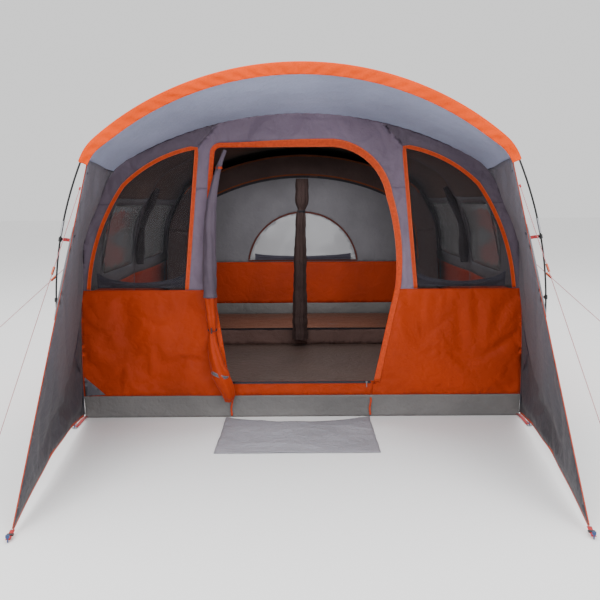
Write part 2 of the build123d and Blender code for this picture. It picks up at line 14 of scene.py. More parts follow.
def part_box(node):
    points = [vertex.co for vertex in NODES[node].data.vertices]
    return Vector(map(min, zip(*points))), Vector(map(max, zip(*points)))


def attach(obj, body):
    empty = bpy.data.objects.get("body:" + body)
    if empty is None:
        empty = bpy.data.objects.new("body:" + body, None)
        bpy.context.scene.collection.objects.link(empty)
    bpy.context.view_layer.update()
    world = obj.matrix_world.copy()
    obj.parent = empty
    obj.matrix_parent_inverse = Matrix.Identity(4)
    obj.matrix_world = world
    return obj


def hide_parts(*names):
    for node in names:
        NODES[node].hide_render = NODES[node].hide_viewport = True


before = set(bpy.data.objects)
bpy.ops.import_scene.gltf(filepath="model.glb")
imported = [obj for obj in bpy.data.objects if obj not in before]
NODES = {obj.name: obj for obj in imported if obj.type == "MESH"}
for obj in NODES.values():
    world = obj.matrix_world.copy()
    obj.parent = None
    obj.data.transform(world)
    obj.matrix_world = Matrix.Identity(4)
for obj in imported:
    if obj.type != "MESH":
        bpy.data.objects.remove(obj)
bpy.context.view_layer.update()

TENT = "tent"

# ---------------------------------------------------------------- measures taken from the frame
SHEET_LOW, SHEET_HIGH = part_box("groundsheet")
FRONT, REAR = SHEET_LOW[1], SHEET_HIGH[1]
FLOOR_HALF = 1.485
TUB_TOP = SHEET_HIGH[2]
HOOP_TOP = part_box("fly_roof")[1][2]
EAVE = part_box("fly_roof")[0][2]
BAND_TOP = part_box("side_lower_panels")[1][2]
REAR_BAND_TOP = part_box("rear_wall_lower")[1][2]
INNER_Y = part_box("inner_door_panel")[0][1]
CLOTH = 0.0015                  # thickness of the cloth as shown
HOOP_YS = [FRONT + 0.02, FRONT + 1.55, FRONT + 3.0, REAR - 0.02]

ARCH_FOOT_Y = FRONT - 0.2
ARCH_RISE, ARCH_LEAN = 2.197, 0.596
ARCH_CORNER = 1.77              # along the front arch's plane
CANOPY_EAVE = 1.66

SILL = [(-0.486, TUB_TOP), (0.476, TUB_TOP), (0.489, 0.249), (-0.492, 0.249)]
WING_TOP = Vector((1.215, FRONT - 0.655, 1.655))
WING_TIP = Vector((1.275, FRONT - 1.815, 0.025))


# ---------------------------------------------------------------- arches
def nested_circle(a, b, radius):
    """Circle (x, s, radius) that touches two larger circles from inside, on their upper right."""
    da, db = a[2] - radius, b[2] - radius
    gap = math.hypot(b[0] - a[0], b[1] - a[1])
    along = (da * da - db * db + gap * gap) / (2 * gap)
    aside = math.sqrt(da * da - along * along)
    ux, us = (b[0] - a[0]) / gap, (b[1] - a[1]) / gap
    found = [(a[0] + along * ux - k * aside * us, a[1] + along * us + k * aside * ux, radius)
             for k in (-1, 1)]
    return max(found, key=sum)


class Arch:
    """Symmetric arch of tangent arcs. share runs from -1, the left foot, over 0 to +1, the right."""

    def __init__(self, circles):
        self.arcs = []
        start = math.asin(-circles[0][1] / circles[0][2])
        for a, b in zip(circles, circles[1:]):
            big, small = (a, b) if a[2] > b[2] else (b, a)
            end = math.atan2(small[1] - big[1], small[0] - big[0])
            self.arcs.append((a, start, end))
            start = end
        self.arcs.append((circles[-1], start, math.pi / 2))
        self.half = sum(c[2] * (b - a) for c, a, b in self.arcs)

    def at(self, share, inset=0.0):
        """(x, s) at a share of the way from the crown to a foot."""
        left = (1 - min(abs(share), 1)) * self.half
        for (cx, cs, radius), a, b in self.arcs:
            length = radius * (b - a)
            if left <= length + 1e-9:
                break
            left -= length
        angle = a + left / radius
        reach = radius - inset
        return math.copysign(1, share) * (cx + reach * math.cos(angle)), cs + reach * math.sin(angle)

    def share(self, height):
        """The share at which the right half has this height."""
        low, high = 0.0, 1.0
        for _ in range(40):
            middle = (low + high) / 2
            low, high = (middle, high) if self.at(middle)[1] > height else (low, middle)
        return low

    def width(self, height, inset=0.0):
        return self.at(self.share(height), inset)[0]


def hoop_arch():
    leg = (1.49 - 9.0, 0.3, 9.0)
    slope = (-4.0265, -1.2135, 6.0)
    crown = (0.0, HOOP_TOP - 2.35, 2.35)
    return Arch([leg, nested_circle(leg, slope, 0.5), slope, nested_circle(slope, crown, 0.35), crown])


def front_arch():
    lower_leg = (1.515 - 5.2, 0.6, 5.2)
    upper_leg = (1.515 - 2.6, 0.6, 2.6)
    crown = (0.0, math.hypot(ARCH_RISE, ARCH_LEAN) - 1.85, 1.85)
    return Arch([lower_leg, upper_leg, nested_circle(upper_leg, crown, 0.32), crown])


HOOP, ARCH = hoop_arch(), front_arch()
TILT = math.atan2(ARCH_LEAN, ARCH_RISE)


def arch_point(x, s, ahead=0.0):
    """Point of the front arch's plane; ahead is measured off the plane, towards the viewer."""
    return Vector((x, ARCH_FOOT_Y - s * math.sin(TILT) - ahead * math.cos(TILT),
                   s * math.cos(TILT) - ahead * math.sin(TILT)))


# ---------------------------------------------------------------- small tools
def smoothstep(a, b, x):
    t = min(max((x - a) / (b - a), 0.0), 1.0)
    return t * t * (3 - 2 * t)


def wander(point, size, seed=0.0):
    """Smooth noise from about -1 to 1 with features of the given size."""
    return noise.noise(Vector(point) / size + Vector((seed, seed * 1.7, -seed)))


def crease(point, size, seed=0.0):
    """Noise with sharp ridges, like creased cloth, from 0 to 1."""
    return 1 - abs(2 * wander(point, size, seed))


def new_object(name, verts, faces, material, uvs):
    mesh = bpy.data.meshes.new(name)
    mesh.from_pydata([tuple(v) for v in verts], [], faces)
    layer = mesh.uv_layers.new(name="UVMap")
    for loop in mesh.loops:
        layer.data[loop.index].uv = uvs[loop.vertex_index]
    mesh.polygons.foreach_set("use_smooth", [True] * len(mesh.polygons))
    obj = bpy.data.objects.new(name, mesh)
    bpy.context.scene.collection.objects.link(obj)
    obj.data.materials.append(material)
    return obj


def grid(name, point, nu, nv, material, size=(1.0, 1.0)):
    """Sheet of quads from point(u, v), u and v from 0 to 1. size is the sheet's, for its UVs."""
    verts, uvs, faces = [], [], []
    for j in range(nv + 1):
        for i in range(nu + 1):
            u, v = i / nu, j / nv
            verts.append(point(u, v))
            uvs.append((u * size[0], v * size[1]))
    for j in range(nv):
        for i in range(nu):
            a = j * (nu + 1) + i
            faces.append((a, a + 1, a + nu + 2, a + nu + 1))
    return new_object(name, verts, faces, material, uvs)


def mirrored(obj, name):
    """A copy on the other side of the tent."""
    mesh = obj.data.copy()
    for vertex in mesh.vertices:
        vertex.co.x = -vertex.co.x
    mesh.flip_normals()
    copy = bpy.data.objects.new(name, mesh)
    bpy.context.scene.collection.objects.link(copy)
    return copy


def thicken(obj, thickness=CLOTH, offset=0.0):
    solidify = obj.modifiers.new("thickness", "SOLIDIFY")
    solidify.thickness = thickness
    solidify.offset = offset
    solidify.use_even_offset = False


def area_of(obj):
    return sum(p.area for p in obj.data.polygons)


def cloth_piece(obj, body, flat, replaces=(), area=None, thickness=CLOTH):
    """Thickens and rides one sheet of cloth, and hides the pieces it replaces."""
    thicken(obj, thickness)
    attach(obj, body)
    if area is not None:
        area = min(area, flat[0] * flat[1])
    for node in replaces:
        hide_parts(node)


def trim(obj, *replaces, thickness=0.001, offset=0.0):
    """Thickens and rides a tape, band or strap, which is no sheet of its own."""
    thicken(obj, thickness, offset)
    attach(obj, TENT)
    for node in replaces:
        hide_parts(node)


def bar(obj, *replaces):
    """Rides a rolled or tubular piece, which is solid as it is."""
    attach(obj, TENT)
    for node in replaces:
        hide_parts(node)


def both_sides(obj):
    """A right-hand piece and its mirrored copy."""
    return obj, mirrored(obj, obj.name.replace("right", "left"))


# ---------------------------------------------------------------- materials
class Nodes:
    """One material's node tree, built up node by node."""

    def __init__(self, name):
        self.material = bpy.data.materials.new(name)
        self.material.use_nodes = True
        self.tree = self.material.node_tree
        self.shader = self.tree.nodes["Principled BSDF"]
        self.place = self.add("ShaderNodeTexCoord").outputs["Object"]
        self.uv = self.tree.nodes["Texture Coordinate"].outputs["UV"]

    def add(self, kind, inputs=None, **settings):
        node = self.tree.nodes.new(kind)
        for key, value in settings.items():
            setattr(node, key, value)
        for key, value in (inputs or {}).items():
            if isinstance(value, bpy.types.NodeSocket):
                self.tree.links.new(value, node.inputs[key])
            else:
                node.inputs[key].default_value = value
        return node

    def math(self, operation, a, b=0.0):
        return self.add("ShaderNodeMath", {0: a, 1: b}, operation=operation).outputs[0]

    def noise(self, scale, detail=2.0, roughness=0.5):
        inputs = {"Vector": self.place, "Scale": scale, "Detail": detail, "Roughness": roughness}
        return self.add("ShaderNodeTexNoise", inputs).outputs[0]

    def spread(self, value, low, high, to_low=0.0, to_high=1.0):
        inputs = {0: value, 1: low, 2: high, 3: to_low, 4: to_high}
        return self.add("ShaderNodeMapRange", inputs).outputs[0]

    def mix(self, share, a, b):
        return self.add("ShaderNodeMix", {0: share, 6: a, 7: b}, data_type="RGBA").outputs[2]

    def bands(self, scale, distortion, direction, detail=1.0):
        inputs = {"Vector": self.place, "Scale": scale, "Distortion": distortion, "Detail": detail}
        return self.add("ShaderNodeTexWave", inputs, wave_type="BANDS",
                        bands_direction=direction).outputs[1]

    def bump(self, height, distance, strength=1.0, normal=None):
        inputs = {"Height": height, "Distance": distance, "Strength": strength}
        if normal is not None:
            inputs["Normal"] = normal
        return self.add("ShaderNodeBump", inputs).outputs[0]

    def finish(self, colour, roughness, normal=None, **sockets):
        for key, value in (("Base Color", colour), ("Roughness", roughness), ("Normal", normal)):
            if isinstance(value, bpy.types.NodeSocket):
                self.tree.links.new(value, self.shader.inputs[key])
            elif value is not None:
                self.shader.inputs[key].default_value = value
        for key, value in sockets.items():
            self.shader.inputs[key.replace("_", " ")].default_value = value
        return self.material


def paint(red, green, blue):
    """A linear colour."""
    return (red, green, blue, 1.0)


def cloth_material(name, colour, roughness=0.62, sheen=0.04, crumple=1.0, shade=0.25, thread=900.0,
                   grid_size=0.0, gloss=0.22, painted_glow_top=0.0):
    """Coated woven cloth: thread bump, small creases, uneven colour, and a ripstop grid if asked.

    The last argument lightens the colour with height. This is painted light, standing in for light coming
    through the cloth near the roof.
    """
    n = Nodes(name)
    broad = n.spread(n.noise(2.2, 3.0), 0.3, 0.7)
    fine = n.spread(n.noise(38.0, 4.0, 0.6), 0.25, 0.75)
    dark = [c * (1 - shade) for c in colour[:3]] + [1.0]
    light = [min(1.0, c * (1 + 0.35 * shade)) for c in colour[:3]] + [1.0]
    tone = n.mix(broad, dark, light)
    tone = n.mix(n.math("MULTIPLY", fine, 0.12), tone, dark)
    # painted light: the colour grows paler with height, for light coming through the cloth near the roof
    if painted_glow_top:
        height = n.add("ShaderNodeSeparateXYZ", {0: n.place}).outputs[2]
        pale = [c * (1 + painted_glow_top) for c in colour[:3]] + [1.0]
        tone = n.mix(n.spread(height, 0.3, 1.6), tone, pale)
    weave = n.math("ADD", *(n.bands(thread / 6.283, 0.6, way) for way in ("Z", "DIAGONAL")))
    normal = n.bump(weave, 0.00012, 0.5)
    creases = n.math("ABSOLUTE", n.math("SUBTRACT", n.noise(9.0, 3.0, 0.55), 0.5))
    normal = n.bump(n.spread(creases, 0.0, 0.12), 0.0035 * crumple, 0.5, normal)
    normal = n.bump(n.noise(26.0, 4.0, 0.6), 0.0022 * crumple, 0.5, normal)
    if grid_size:
        cells = n.add("ShaderNodeTexBrick", {"Vector": n.uv, "Scale": 1.0, "Mortar Size": 0.0006,
                                             "Mortar Smooth": 0.3, "Brick Width": grid_size,
                                             "Row Height": grid_size}, offset=0.0).outputs[1]
        normal = n.bump(cells, 0.0004, 0.4, normal)
        tone = n.mix(n.math("MULTIPLY", cells, 0.18), tone, dark)
    rough = n.spread(fine, 0.0, 1.0, roughness - 0.07, roughness + 0.08)
    return n.finish(tone, rough, normal, Sheen_Weight=sheen, Sheen_Roughness=0.5, IOR=1.45,
                    Specular_IOR_Level=gloss)


STITCH = 0.0045                 # length of one stitch with its gap


def tape_material(name, colour, stitch_colour, width=0.03):
    """Woven edge tape with a row of stitches near each edge. Its UVs are metres along and across."""
    n = Nodes(name)
    split = n.add("ShaderNodeSeparateXYZ", {0: n.uv})
    along, across = split.outputs[0], split.outputs[1]
    edge = n.math("ABSOLUTE", n.math("SUBTRACT", n.math("ABSOLUTE", across), width / 2 - 0.004))
    near_edge = n.spread(edge, 0.0006, 0.0013, 1.0, 0.0)
    dash = n.spread(n.math("FRACT", n.math("DIVIDE", along, STITCH)), 0.62, 0.7, 1.0, 0.0)
    thread = n.math("MULTIPLY", near_edge, dash)
    ribs = n.math("SINE", n.math("MULTIPLY", along, 3600.0))
    tone = n.mix(n.spread(n.noise(60.0, 3.0), 0.3, 0.7), colour, [c * 0.72 for c in colour[:3]] + [1.0])
    tone = n.mix(n.math("MULTIPLY", thread, 0.8), tone, stitch_colour)
    normal = n.bump(ribs, 0.0002, 0.4)
    normal = n.bump(n.math("SUBTRACT", thread, n.spread(edge, 0.0, 0.004, 1.0, 0.0)), 0.0007, 0.6, normal)
    return n.finish(tone, 0.6, normal, Sheen_Weight=0.04, Specular_IOR_Level=0.25)


def webbing_material(name, colour):
    """Woven webbing with a herringbone of thick threads."""
    n = Nodes(name)
    wave = n.bands(90.0, 1.5, "DIAGONAL", 2.0)
    tone = n.mix(n.spread(wave, 0.2, 0.9), [c * 0.6 for c in colour[:3]] + [1.0], colour)
    return n.finish(tone, 0.55, n.bump(wave, 0.0005, 0.6), Sheen_Weight=0.06)


def plastic_material(name, colour, roughness=0.35, grain=900.0):
    n = Nodes(name)
    tone = n.mix(n.noise(45.0, 3.0), colour, [c * 0.8 + 0.004 for c in colour[:3]] + [1.0])
    rough = n.spread(n.noise(120.0, 2.0), 0.3, 0.7, roughness - 0.05, roughness + 0.1)
    return n.finish(tone, rough, n.bump(n.noise(grain, 2.0), 0.0001, 0.35), Specular_IOR_Level=0.5)


def metal_material(name, colour, roughness=0.32):
    n = Nodes(name)
    scratches = n.noise(240.0, 5.0, 0.7)
    tone = n.mix(n.spread(n.noise(30.0, 3.0), 0.35, 0.7), colour, [c * 0.75 for c in colour[:3]] + [1.0])
    rough = n.spread(scratches, 0.3, 0.7, roughness - 0.08, roughness + 0.14)
    return n.finish(tone, rough, n.bump(scratches, 0.00008, 0.4), Metallic=1.0)


def mesh_material(name, colour, clear):
    """Insect mesh: mostly see-through dark cloth."""
    n = Nodes(name)
    tone = n.mix(n.noise(14.0, 3.0), colour, [c * 0.7 for c in colour[:3]] + [1.0])
    threads = n.noise(625.0, 1.0)
    made = n.finish(tone, 0.75, n.bump(threads, 0.0003, 0.4), Alpha=1 - clear)
    made.surface_render_method = "BLENDED"
    return made


def film_material(name, colour, clear):
    """Clear window film with soft ripples."""
    n = Nodes(name)
    tone = n.mix(n.noise(3.0, 2.0), colour, [c * 0.85 for c in colour[:3]] + [1.0])
    made = n.finish(tone, 0.14, n.bump(n.noise(6.0, 2.0), 0.004, 0.5), Alpha=1 - clear,
                    Specular_IOR_Level=0.6)
    made.surface_render_method = "BLENDED"
    return made


def cord_material(name, light, fleck):
    """Braided cord, light with coloured flecks."""
    n = Nodes(name)
    braid = n.bands(60.0, 2.0, "DIAGONAL")
    tone = n.mix(n.spread(braid, 0.35, 0.6), light, fleck)
    return n.finish(tone, 0.6, n.bump(braid, 0.0006, 0.6), Sheen_Weight=0.2)


ORANGE = cloth_material("fly_orange", paint(0.37, 0.030, 0.002), crumple=1.2, shade=0.22)
# the band's orange is lighter than the wall's: partly its own colour, partly painted light standing in for
# light shining through the band
BAND_ORANGE_PAINTED_GLOW = cloth_material("band_orange", paint(0.78, 0.070, 0.002), crumple=1.4, shade=0.2, sheen=0.0,
                             gloss=0.08)
LILAC = cloth_material("wall_lilac", paint(0.170, 0.128, 0.178), crumple=1.2, shade=0.24)
LILAC_DARK = cloth_material("wall_lilac_dark", paint(0.104, 0.080, 0.108), crumple=1.0, shade=0.22)
CANOPY = cloth_material("canopy_grey", paint(0.340, 0.375, 0.520), crumple=0.9, shade=0.22)
FLY_GREY = cloth_material("fly_grey", paint(0.150, 0.146, 0.162), crumple=1.0, shade=0.22)
ROOF_LINING = cloth_material("roof_lining_brown", paint(0.115, 0.070, 0.055), crumple=1.0, shade=0.3)
# the wing cloth is painted paler towards the top: painted light, for the glow coming through the canopy above
WING_GREY = cloth_material("wing_grey", paint(0.054, 0.051, 0.060), crumple=0.9, shade=0.25, painted_glow_top=1.6)
PATCH_GREY = cloth_material("patch_grey", paint(0.095, 0.090, 0.105), crumple=0.5, shade=0.2)
WING_EDGE = cloth_material("wing_edge_grey", paint(0.22, 0.22, 0.24), crumple=0.8, shade=0.2)
TUB_GREY = cloth_material("groundsheet_grey", paint(0.160, 0.154, 0.152), roughness=0.5, crumple=1.5,
                          shade=0.25, thread=500.0, grid_size=0.012)
# the living-area floor is darker and browner than the tub sides of the same groundsheet: partly the cloth's
# own tone, partly painted shade from the tent above
FLOOR_BROWN_PAINTED_SHADE = cloth_material("floor_brown_painted_shade", paint(0.125, 0.080, 0.066), roughness=0.5, crumple=1.4,
                             shade=0.2, thread=500.0, grid_size=0.012)
BED_FLOOR = cloth_material("bedroom_floor", paint(0.14, 0.055, 0.030), roughness=0.5, crumple=1.4,
                           shade=0.2, thread=500.0, grid_size=0.012)
INNER_BROWN = cloth_material("inner_brown", paint(0.095, 0.062, 0.058), roughness=0.8, crumple=1.3,
                             shade=0.3)
# a lighter copy of the inner brown for the door's lip: painted light, for the lip that lies in shade
INNER_LIP_PAINTED_LIGHT = cloth_material("inner_lip_brown_painted_light", paint(0.20, 0.125, 0.11), roughness=0.8, crumple=1.3,
                           shade=0.3)
CURTAIN = cloth_material("side_curtain_dark", paint(0.035, 0.030, 0.034), roughness=0.8, crumple=1.3,
                         shade=0.3)
BLIND = cloth_material("blind_grey", paint(0.060, 0.056, 0.078), roughness=0.7, crumple=1.5, shade=0.3)
MAT_GREY = cloth_material("mat_grey", paint(0.335, 0.330, 0.370), roughness=0.5, crumple=2.0,
                          shade=0.2, thread=500.0, grid_size=0.012)
TAPE = tape_material("edge_tape_orange", paint(0.52, 0.045, 0.003), paint(0.75, 0.22, 0.07))
WIDE_TAPE = tape_material("door_tape_orange", paint(0.58, 0.052, 0.003), paint(0.8, 0.24, 0.08),
                          width=0.048)
INNER_TAPE = tape_material("inner_tape", paint(0.20, 0.045, 0.012), paint(0.3, 0.1, 0.04), width=0.014)
GREY_TAPE = tape_material("seam_tape_grey", paint(0.12, 0.112, 0.13), paint(0.3, 0.3, 0.33), width=0.024)
ZIP_TAPE = tape_material("zip_tape", paint(0.075, 0.014, 0.010), paint(0.15, 0.04, 0.03), width=0.02)
DARK_TAPE = tape_material("dark_tape", paint(0.020, 0.020, 0.028), paint(0.08, 0.07, 0.08), width=0.02)
# navy tape for the canopy's seams, and for the painted shadow lines on the wings
SEAM_AND_SHADOW_NAVY = tape_material("seam_tape_navy", paint(0.022, 0.024, 0.040), paint(0.08, 0.08, 0.11), width=0.02)
RED_WEBBING = webbing_material("webbing_red", paint(0.50, 0.004, 0.010))
POLE = plastic_material("pole_black", paint(0.008, 0.008, 0.009), 0.3, 400.0)
CLIP = plastic_material("clip_black", paint(0.007, 0.007, 0.008), 0.4)
RUNNER = plastic_material("runner_orange", paint(0.60, 0.09, 0.02), 0.35)
TOGGLE = plastic_material("toggle_dark", paint(0.014, 0.014, 0.019), 0.4)
PEG_BLUE = plastic_material("peg_blue", paint(0.013, 0.045, 0.16), 0.35)
FERRULE = metal_material("ferrule_metal", paint(0.50, 0.51, 0.53))
STEEL = metal_material("peg_steel", paint(0.38, 0.39, 0.41), 0.36)
ZIP_METAL = metal_material("zip_metal", paint(0.22, 0.22, 0.23), 0.4)
MESH = mesh_material("mesh_black", paint(0.026, 0.023, 0.028), clear=0.8)
FILM = film_material("window_film", paint(0.26, 0.265, 0.29), clear=0.27)
SIDE_FILM = film_material("side_window_film", paint(0.165, 0.17, 0.18), clear=0.16)
GUY = cord_material("guyline", paint(0.62, 0.40, 0.40), paint(0.45, 0.02, 0.05))


# ---------------------------------------------------------------- builders
def fill(name, loops, spacing, point, material, seed=1):
    """Fine triangles inside the first loop and outside the others; point(x, z) places each corner.

    loops are closed runs of (x, z). Corners lie close together on the loops and loosely between.
    """
    rng = random.Random(seed)
    verts, edges = [], []
    for loop in loops:
        ring = []
        for a, b in zip(loop, loop[1:] + loop[:1]):
            steps = max(1, round(math.dist(a, b) / spacing))
            ring += [(a[0] + (b[0] - a[0]) * i / steps, a[1] + (b[1] - a[1]) * i / steps)
                     for i in range(steps)]
        first = len(verts)
        verts += ring
        edges += [(first + i, first + (i + 1) % len(ring)) for i in range(len(ring))]
    border = len(verts)
    xs, zs = [v[0] for v in loops[0]], [v[1] for v in loops[0]]
    x, row = min(xs) + spacing / 2, 0
    inside = []
    while x < max(xs):
        z = min(zs) + spacing * (0.5 if row % 2 else 1.0)
        while z < max(zs):
            jitter = [(rng.random() - 0.5) * spacing * 0.3 for _ in range(2)]
            spot = (x + jitter[0], z + jitter[1])
            if in_loops(spot, loops) and clear_of(spot, verts[:border], spacing * 0.55):
                inside.append(spot)
            z += spacing
        x += spacing * 0.87
        row += 1
    verts += inside
    flat = [Vector(v) for v in verts]
    made, _, faces, *_ = geometry.delaunay_2d_cdt(flat, edges, [], 0, 1e-6)
    kept = []
    for face in faces:
        centre = sum((made[i] for i in face), Vector((0, 0))) / len(face)
        if in_loops(centre, loops):
            kept.append(tuple(face))
    places = [point(v[0], v[1]) for v in made]
    obj = new_object(name, places, kept, material, [tuple(v) for v in made])
    pins = obj.vertex_groups.new(name="pins")
    pins.add([i for i, v in enumerate(made) if on_loops(v, loops)], 1.0, "REPLACE")
    return obj


def in_loop(spot, loop):
    x, z = spot[0], spot[1]
    inside = False
    for (x0, z0), (x1, z1) in zip(loop, loop[1:] + loop[:1]):
        if (z0 > z) != (z1 > z) and x < (x1 - x0) * (z - z0) / (z1 - z0) + x0:
            inside = not inside
    return inside


def in_loops(spot, loops):
    return in_loop(spot, loops[0]) and not any(in_loop(spot, loop) for loop in loops[1:])


def clear_of(spot, points, gap):
    return all(abs(spot[0] - p[0]) > gap or abs(spot[1] - p[1]) > gap for p in points)


def to_line(spot, a, b):
    """Distance from a spot to the stretch between a and b."""
    ax, az, bx, bz = a[0], a[1], b[0], b[1]
    length = (bx - ax) ** 2 + (bz - az) ** 2
    t = 0.0 if length == 0 else ((spot[0] - ax) * (bx - ax) + (spot[1] - az) * (bz - az)) / length
    t = min(max(t, 0.0), 1.0)
    return math.hypot(spot[0] - ax - t * (bx - ax), spot[1] - az - t * (bz - az))


def edge_distance(spot, loops):
    return min(to_line(spot, a, b) for loop in loops for a, b in zip(loop, loop[1:] + loop[:1]))


def on_loops(spot, loops):
    return edge_distance(spot, loops) < 1e-5


def rounded(points, per_piece=8):
    """Smooth run through the points, with per_piece steps between each two; ends are kept."""
    out = []
    for i in range(len(points) - 1):
        p0, p1 = points[max(i - 1, 0)], points[i]
        p2, p3 = points[i + 1], points[min(i + 2, len(points) - 1)]
        for k in range(per_piece):
            t = k / per_piece
            out.append(tuple(0.5 * (2 * b + (c - a) * t + (2 * a - 5 * b + 4 * c - d) * t * t
                                    + (3 * b - a - 3 * c + d) * t ** 3)
                             for a, b, c, d in zip(p0, p1, p2, p3)))
    return out + [tuple(points[-1])]


def arc_through(a, b, c, steps=12):
    """Points of the circle arc from a over b to c, in the plane."""
    (ax, ay), (bx, by), (cx, cy) = a, b, c
    d = 2 * (ax * (by - cy) + bx * (cy - ay) + cx * (ay - by))
    ux = ((ax * ax + ay * ay) * (by - cy) + (bx * bx + by * by) * (cy - ay)
          + (cx * cx + cy * cy) * (ay - by)) / d
    uy = ((ax * ax + ay * ay) * (cx - bx) + (bx * bx + by * by) * (ax - cx)
          + (cx * cx + cy * cy) * (bx - ax)) / d
    radius = math.hypot(ax - ux, ay - uy)
    angles = [math.atan2(y - uy, x - ux) for x, y in (a, b, c)]
    turn = (angles[2] - angles[0]) % (2 * math.pi)
    if (angles[1] - angles[0]) % (2 * math.pi) > turn:
        turn -= 2 * math.pi
    return [(ux + radius * math.cos(angles[0] + turn * i / steps),
             uy + radius * math.sin(angles[0] + turn * i / steps)) for i in range(steps + 1)]


def ribbon(name, points, across, width, material, lift=0.0012, closed=False, wave=0.0, side=0):
    """Flat tape along 3-D points. across(i) is the direction over its width at point i.

    width is a number or a function of i. side moves the tape off its line: 1 puts an edge on it.
    """
    points = [Vector(p) for p in points]
    count = len(points)
    verts, uvs, faces = [], [], []
    shares = (-0.5, -0.46, -0.2, 0.2, 0.46, 0.5)
    along = 0.0
    for i, p in enumerate(points):
        if i:
            along += (p - points[i - 1]).length
        ahead = points[(i + 1) % count if closed else min(i + 1, count - 1)]
        behind = points[(i - 1) % count if closed else max(i - 1, 0)]
        over = Vector(across(i)).normalized()
        normal = (ahead - behind).normalized().cross(over)
        wide = width(i) if callable(width) else width
        for share in shares:
            up = lift * (1.0 if abs(share) < 0.47 else 0.1)
            spot = p + over * wide * (share - side / 2)
            verts.append(spot + normal * (up + wave * wander(spot, 0.03, 3.0)))
            uvs.append((along, share * wide))
    row = len(shares)
    for i in range(count if closed else count - 1):
        j = (i + 1) % count
        for k in range(row - 1):
            faces.append((i * row + k, i * row + k + 1, j * row + k + 1, j * row + k))
    return new_object(name, verts, faces, material, uvs)


def tube(name, points, radius, material, sides):
    """Closed round bar along 3-D points. radius is a number or a function of the share along it."""
    points = [Vector(p) for p in points]
    lengths = [0.0]
    for a, b in zip(points, points[1:]):
        lengths.append(lengths[-1] + (b - a).length)
    side = None
    verts, uvs, faces = [], [], []
    for i, p in enumerate(points):
        tangent = (points[min(i + 1, len(points) - 1)] - points[max(i - 1, 0)]).normalized()
        if side is None:
            side = tangent.orthogonal().normalized()
        side = (side - tangent * side.dot(tangent)).normalized()
        other = tangent.cross(side)
        share = lengths[i] / lengths[-1]
        for k in range(sides):
            angle = 2 * math.pi * k / sides
            r = radius(share, angle, p) if callable(radius) else radius
            verts.append(p + (side * math.cos(angle) + other * math.sin(angle)) * r)
            uvs.append((lengths[i], k / sides))
    for i in range(len(points) - 1):
        for k in range(sides):
            a, b = i * sides + k, i * sides + (k + 1) % sides
            faces.append((a, b, b + sides, a + sides))
    faces.append(tuple(reversed(range(sides))))
    faces.append(tuple(range((len(points) - 1) * sides, len(points) * sides)))
    return new_object(name, verts, faces, material, uvs)


STIFFNESS = 12.0                # of the simulated cloth, along its threads


def relax(obj, grow, frames, cap, gravity, bending=0.4, allowed=None):
    """Cloth simulation with pinned edges and some cloth to spare, so it settles into creases.

    grow is the spare share, cap the furthest that a point may move. allowed(old, move) may
    change a point's move.
    """
    before = [v.co.copy() for v in obj.data.vertices]
    cloth = obj.modifiers.new("cloth", "CLOTH")
    settings = cloth.settings
    settings.quality = 6
    settings.mass = 0.12
    settings.tension_stiffness = settings.compression_stiffness = STIFFNESS
    settings.shear_stiffness = STIFFNESS * 0.6
    settings.bending_stiffness = bending
    settings.air_damping = 2.0
    settings.shrink_min = -grow
    settings.vertex_group_mass = "pins"
    settings.effector_weights.gravity = gravity
    cloth.collision_settings.use_collision = False
    cloth.point_cache.frame_end = frames + 1
    scene = bpy.context.scene
    for frame_number in range(1, frames + 1):
        scene.frame_set(frame_number)
    evaluated = obj.evaluated_get(bpy.context.evaluated_depsgraph_get())
    settled = [v.co.copy() for v in evaluated.data.vertices]
    obj.modifiers.remove(cloth)
    scene.frame_set(1)
    for vertex, old, new in zip(obj.data.vertices, before, settled):
        move = new - old
        if allowed is not None:
            move = allowed(old, move)
        if move.length > cap:
            move *= cap / move.length
        vertex.co = old + move
    return obj


def curved_loop(points, bends):
    """Closed loop through corner points; bends maps an index to the arc's middle after it."""
    out, i = [], 0
    while i < len(points):
        if i in bends:
            out += arc_through(points[i], bends[i], points[(i + 1) % len(points)])[:-1]
        else:
            out.append(points[i])
        i += 1
    return out


def grown(loop, amount):
    """The loop moved outwards by amount."""
    area = sum(a[0] * b[1] - b[0] * a[1] for a, b in zip(loop, loop[1:] + loop[:1]))
    sign = 1 if area > 0 else -1
    out = []
    for i, p in enumerate(loop):
        a, b = Vector(loop[i - 1]), Vector(loop[(i + 1) % len(loop)])
        p = Vector(p)
        before, after = (p - a).normalized(), (b - p).normalized()
        normals = [Vector((d.y, -d.x)) * sign for d in (before, after)]
        middle = (normals[0] + normals[1]).normalized()
        out.append(tuple(p + middle * amount / max(middle.dot(normals[0]), 0.4)))
    return out


DOOR_LOOP = curved_loop([(-0.492, 0.249), (-0.58, 0.85), (-0.562, 1.77), (-0.52, 1.813),
                         (0.215, 1.813), (0.563, 1.49), (0.63, 0.9), (0.489, 0.249)],
                        {1: (-0.594, 1.24), 2: (-0.551, 1.8), 4: (0.44, 1.716), 5: (0.624, 1.21)})
WINDOW_LOOP = curved_loop([(0.777, 0.88), (0.69, 1.8), (1.16, 1.56), (1.4, 0.96), (1.41, 0.88)],
                          {1: (0.95, 1.712), 2: (1.31, 1.29)})


def flipped(loop):
    return [(-x, z) for x, z in reversed(loop)]


def hoop_loop(low, high=None, inset=0.0):
    """Outline of the tunnel's cross-section between two heights, or from one up over the crown."""
    steps = 60
    start = HOOP.share(low)
    end = HOOP.share(high) if high else 0.0
    right = [HOOP.at(start + (end - start) * i / steps, inset) for i in range(steps + 1)]
    left = [(-x, z) for x, z in reversed(right)]
    return right + (left if high else left[1:])


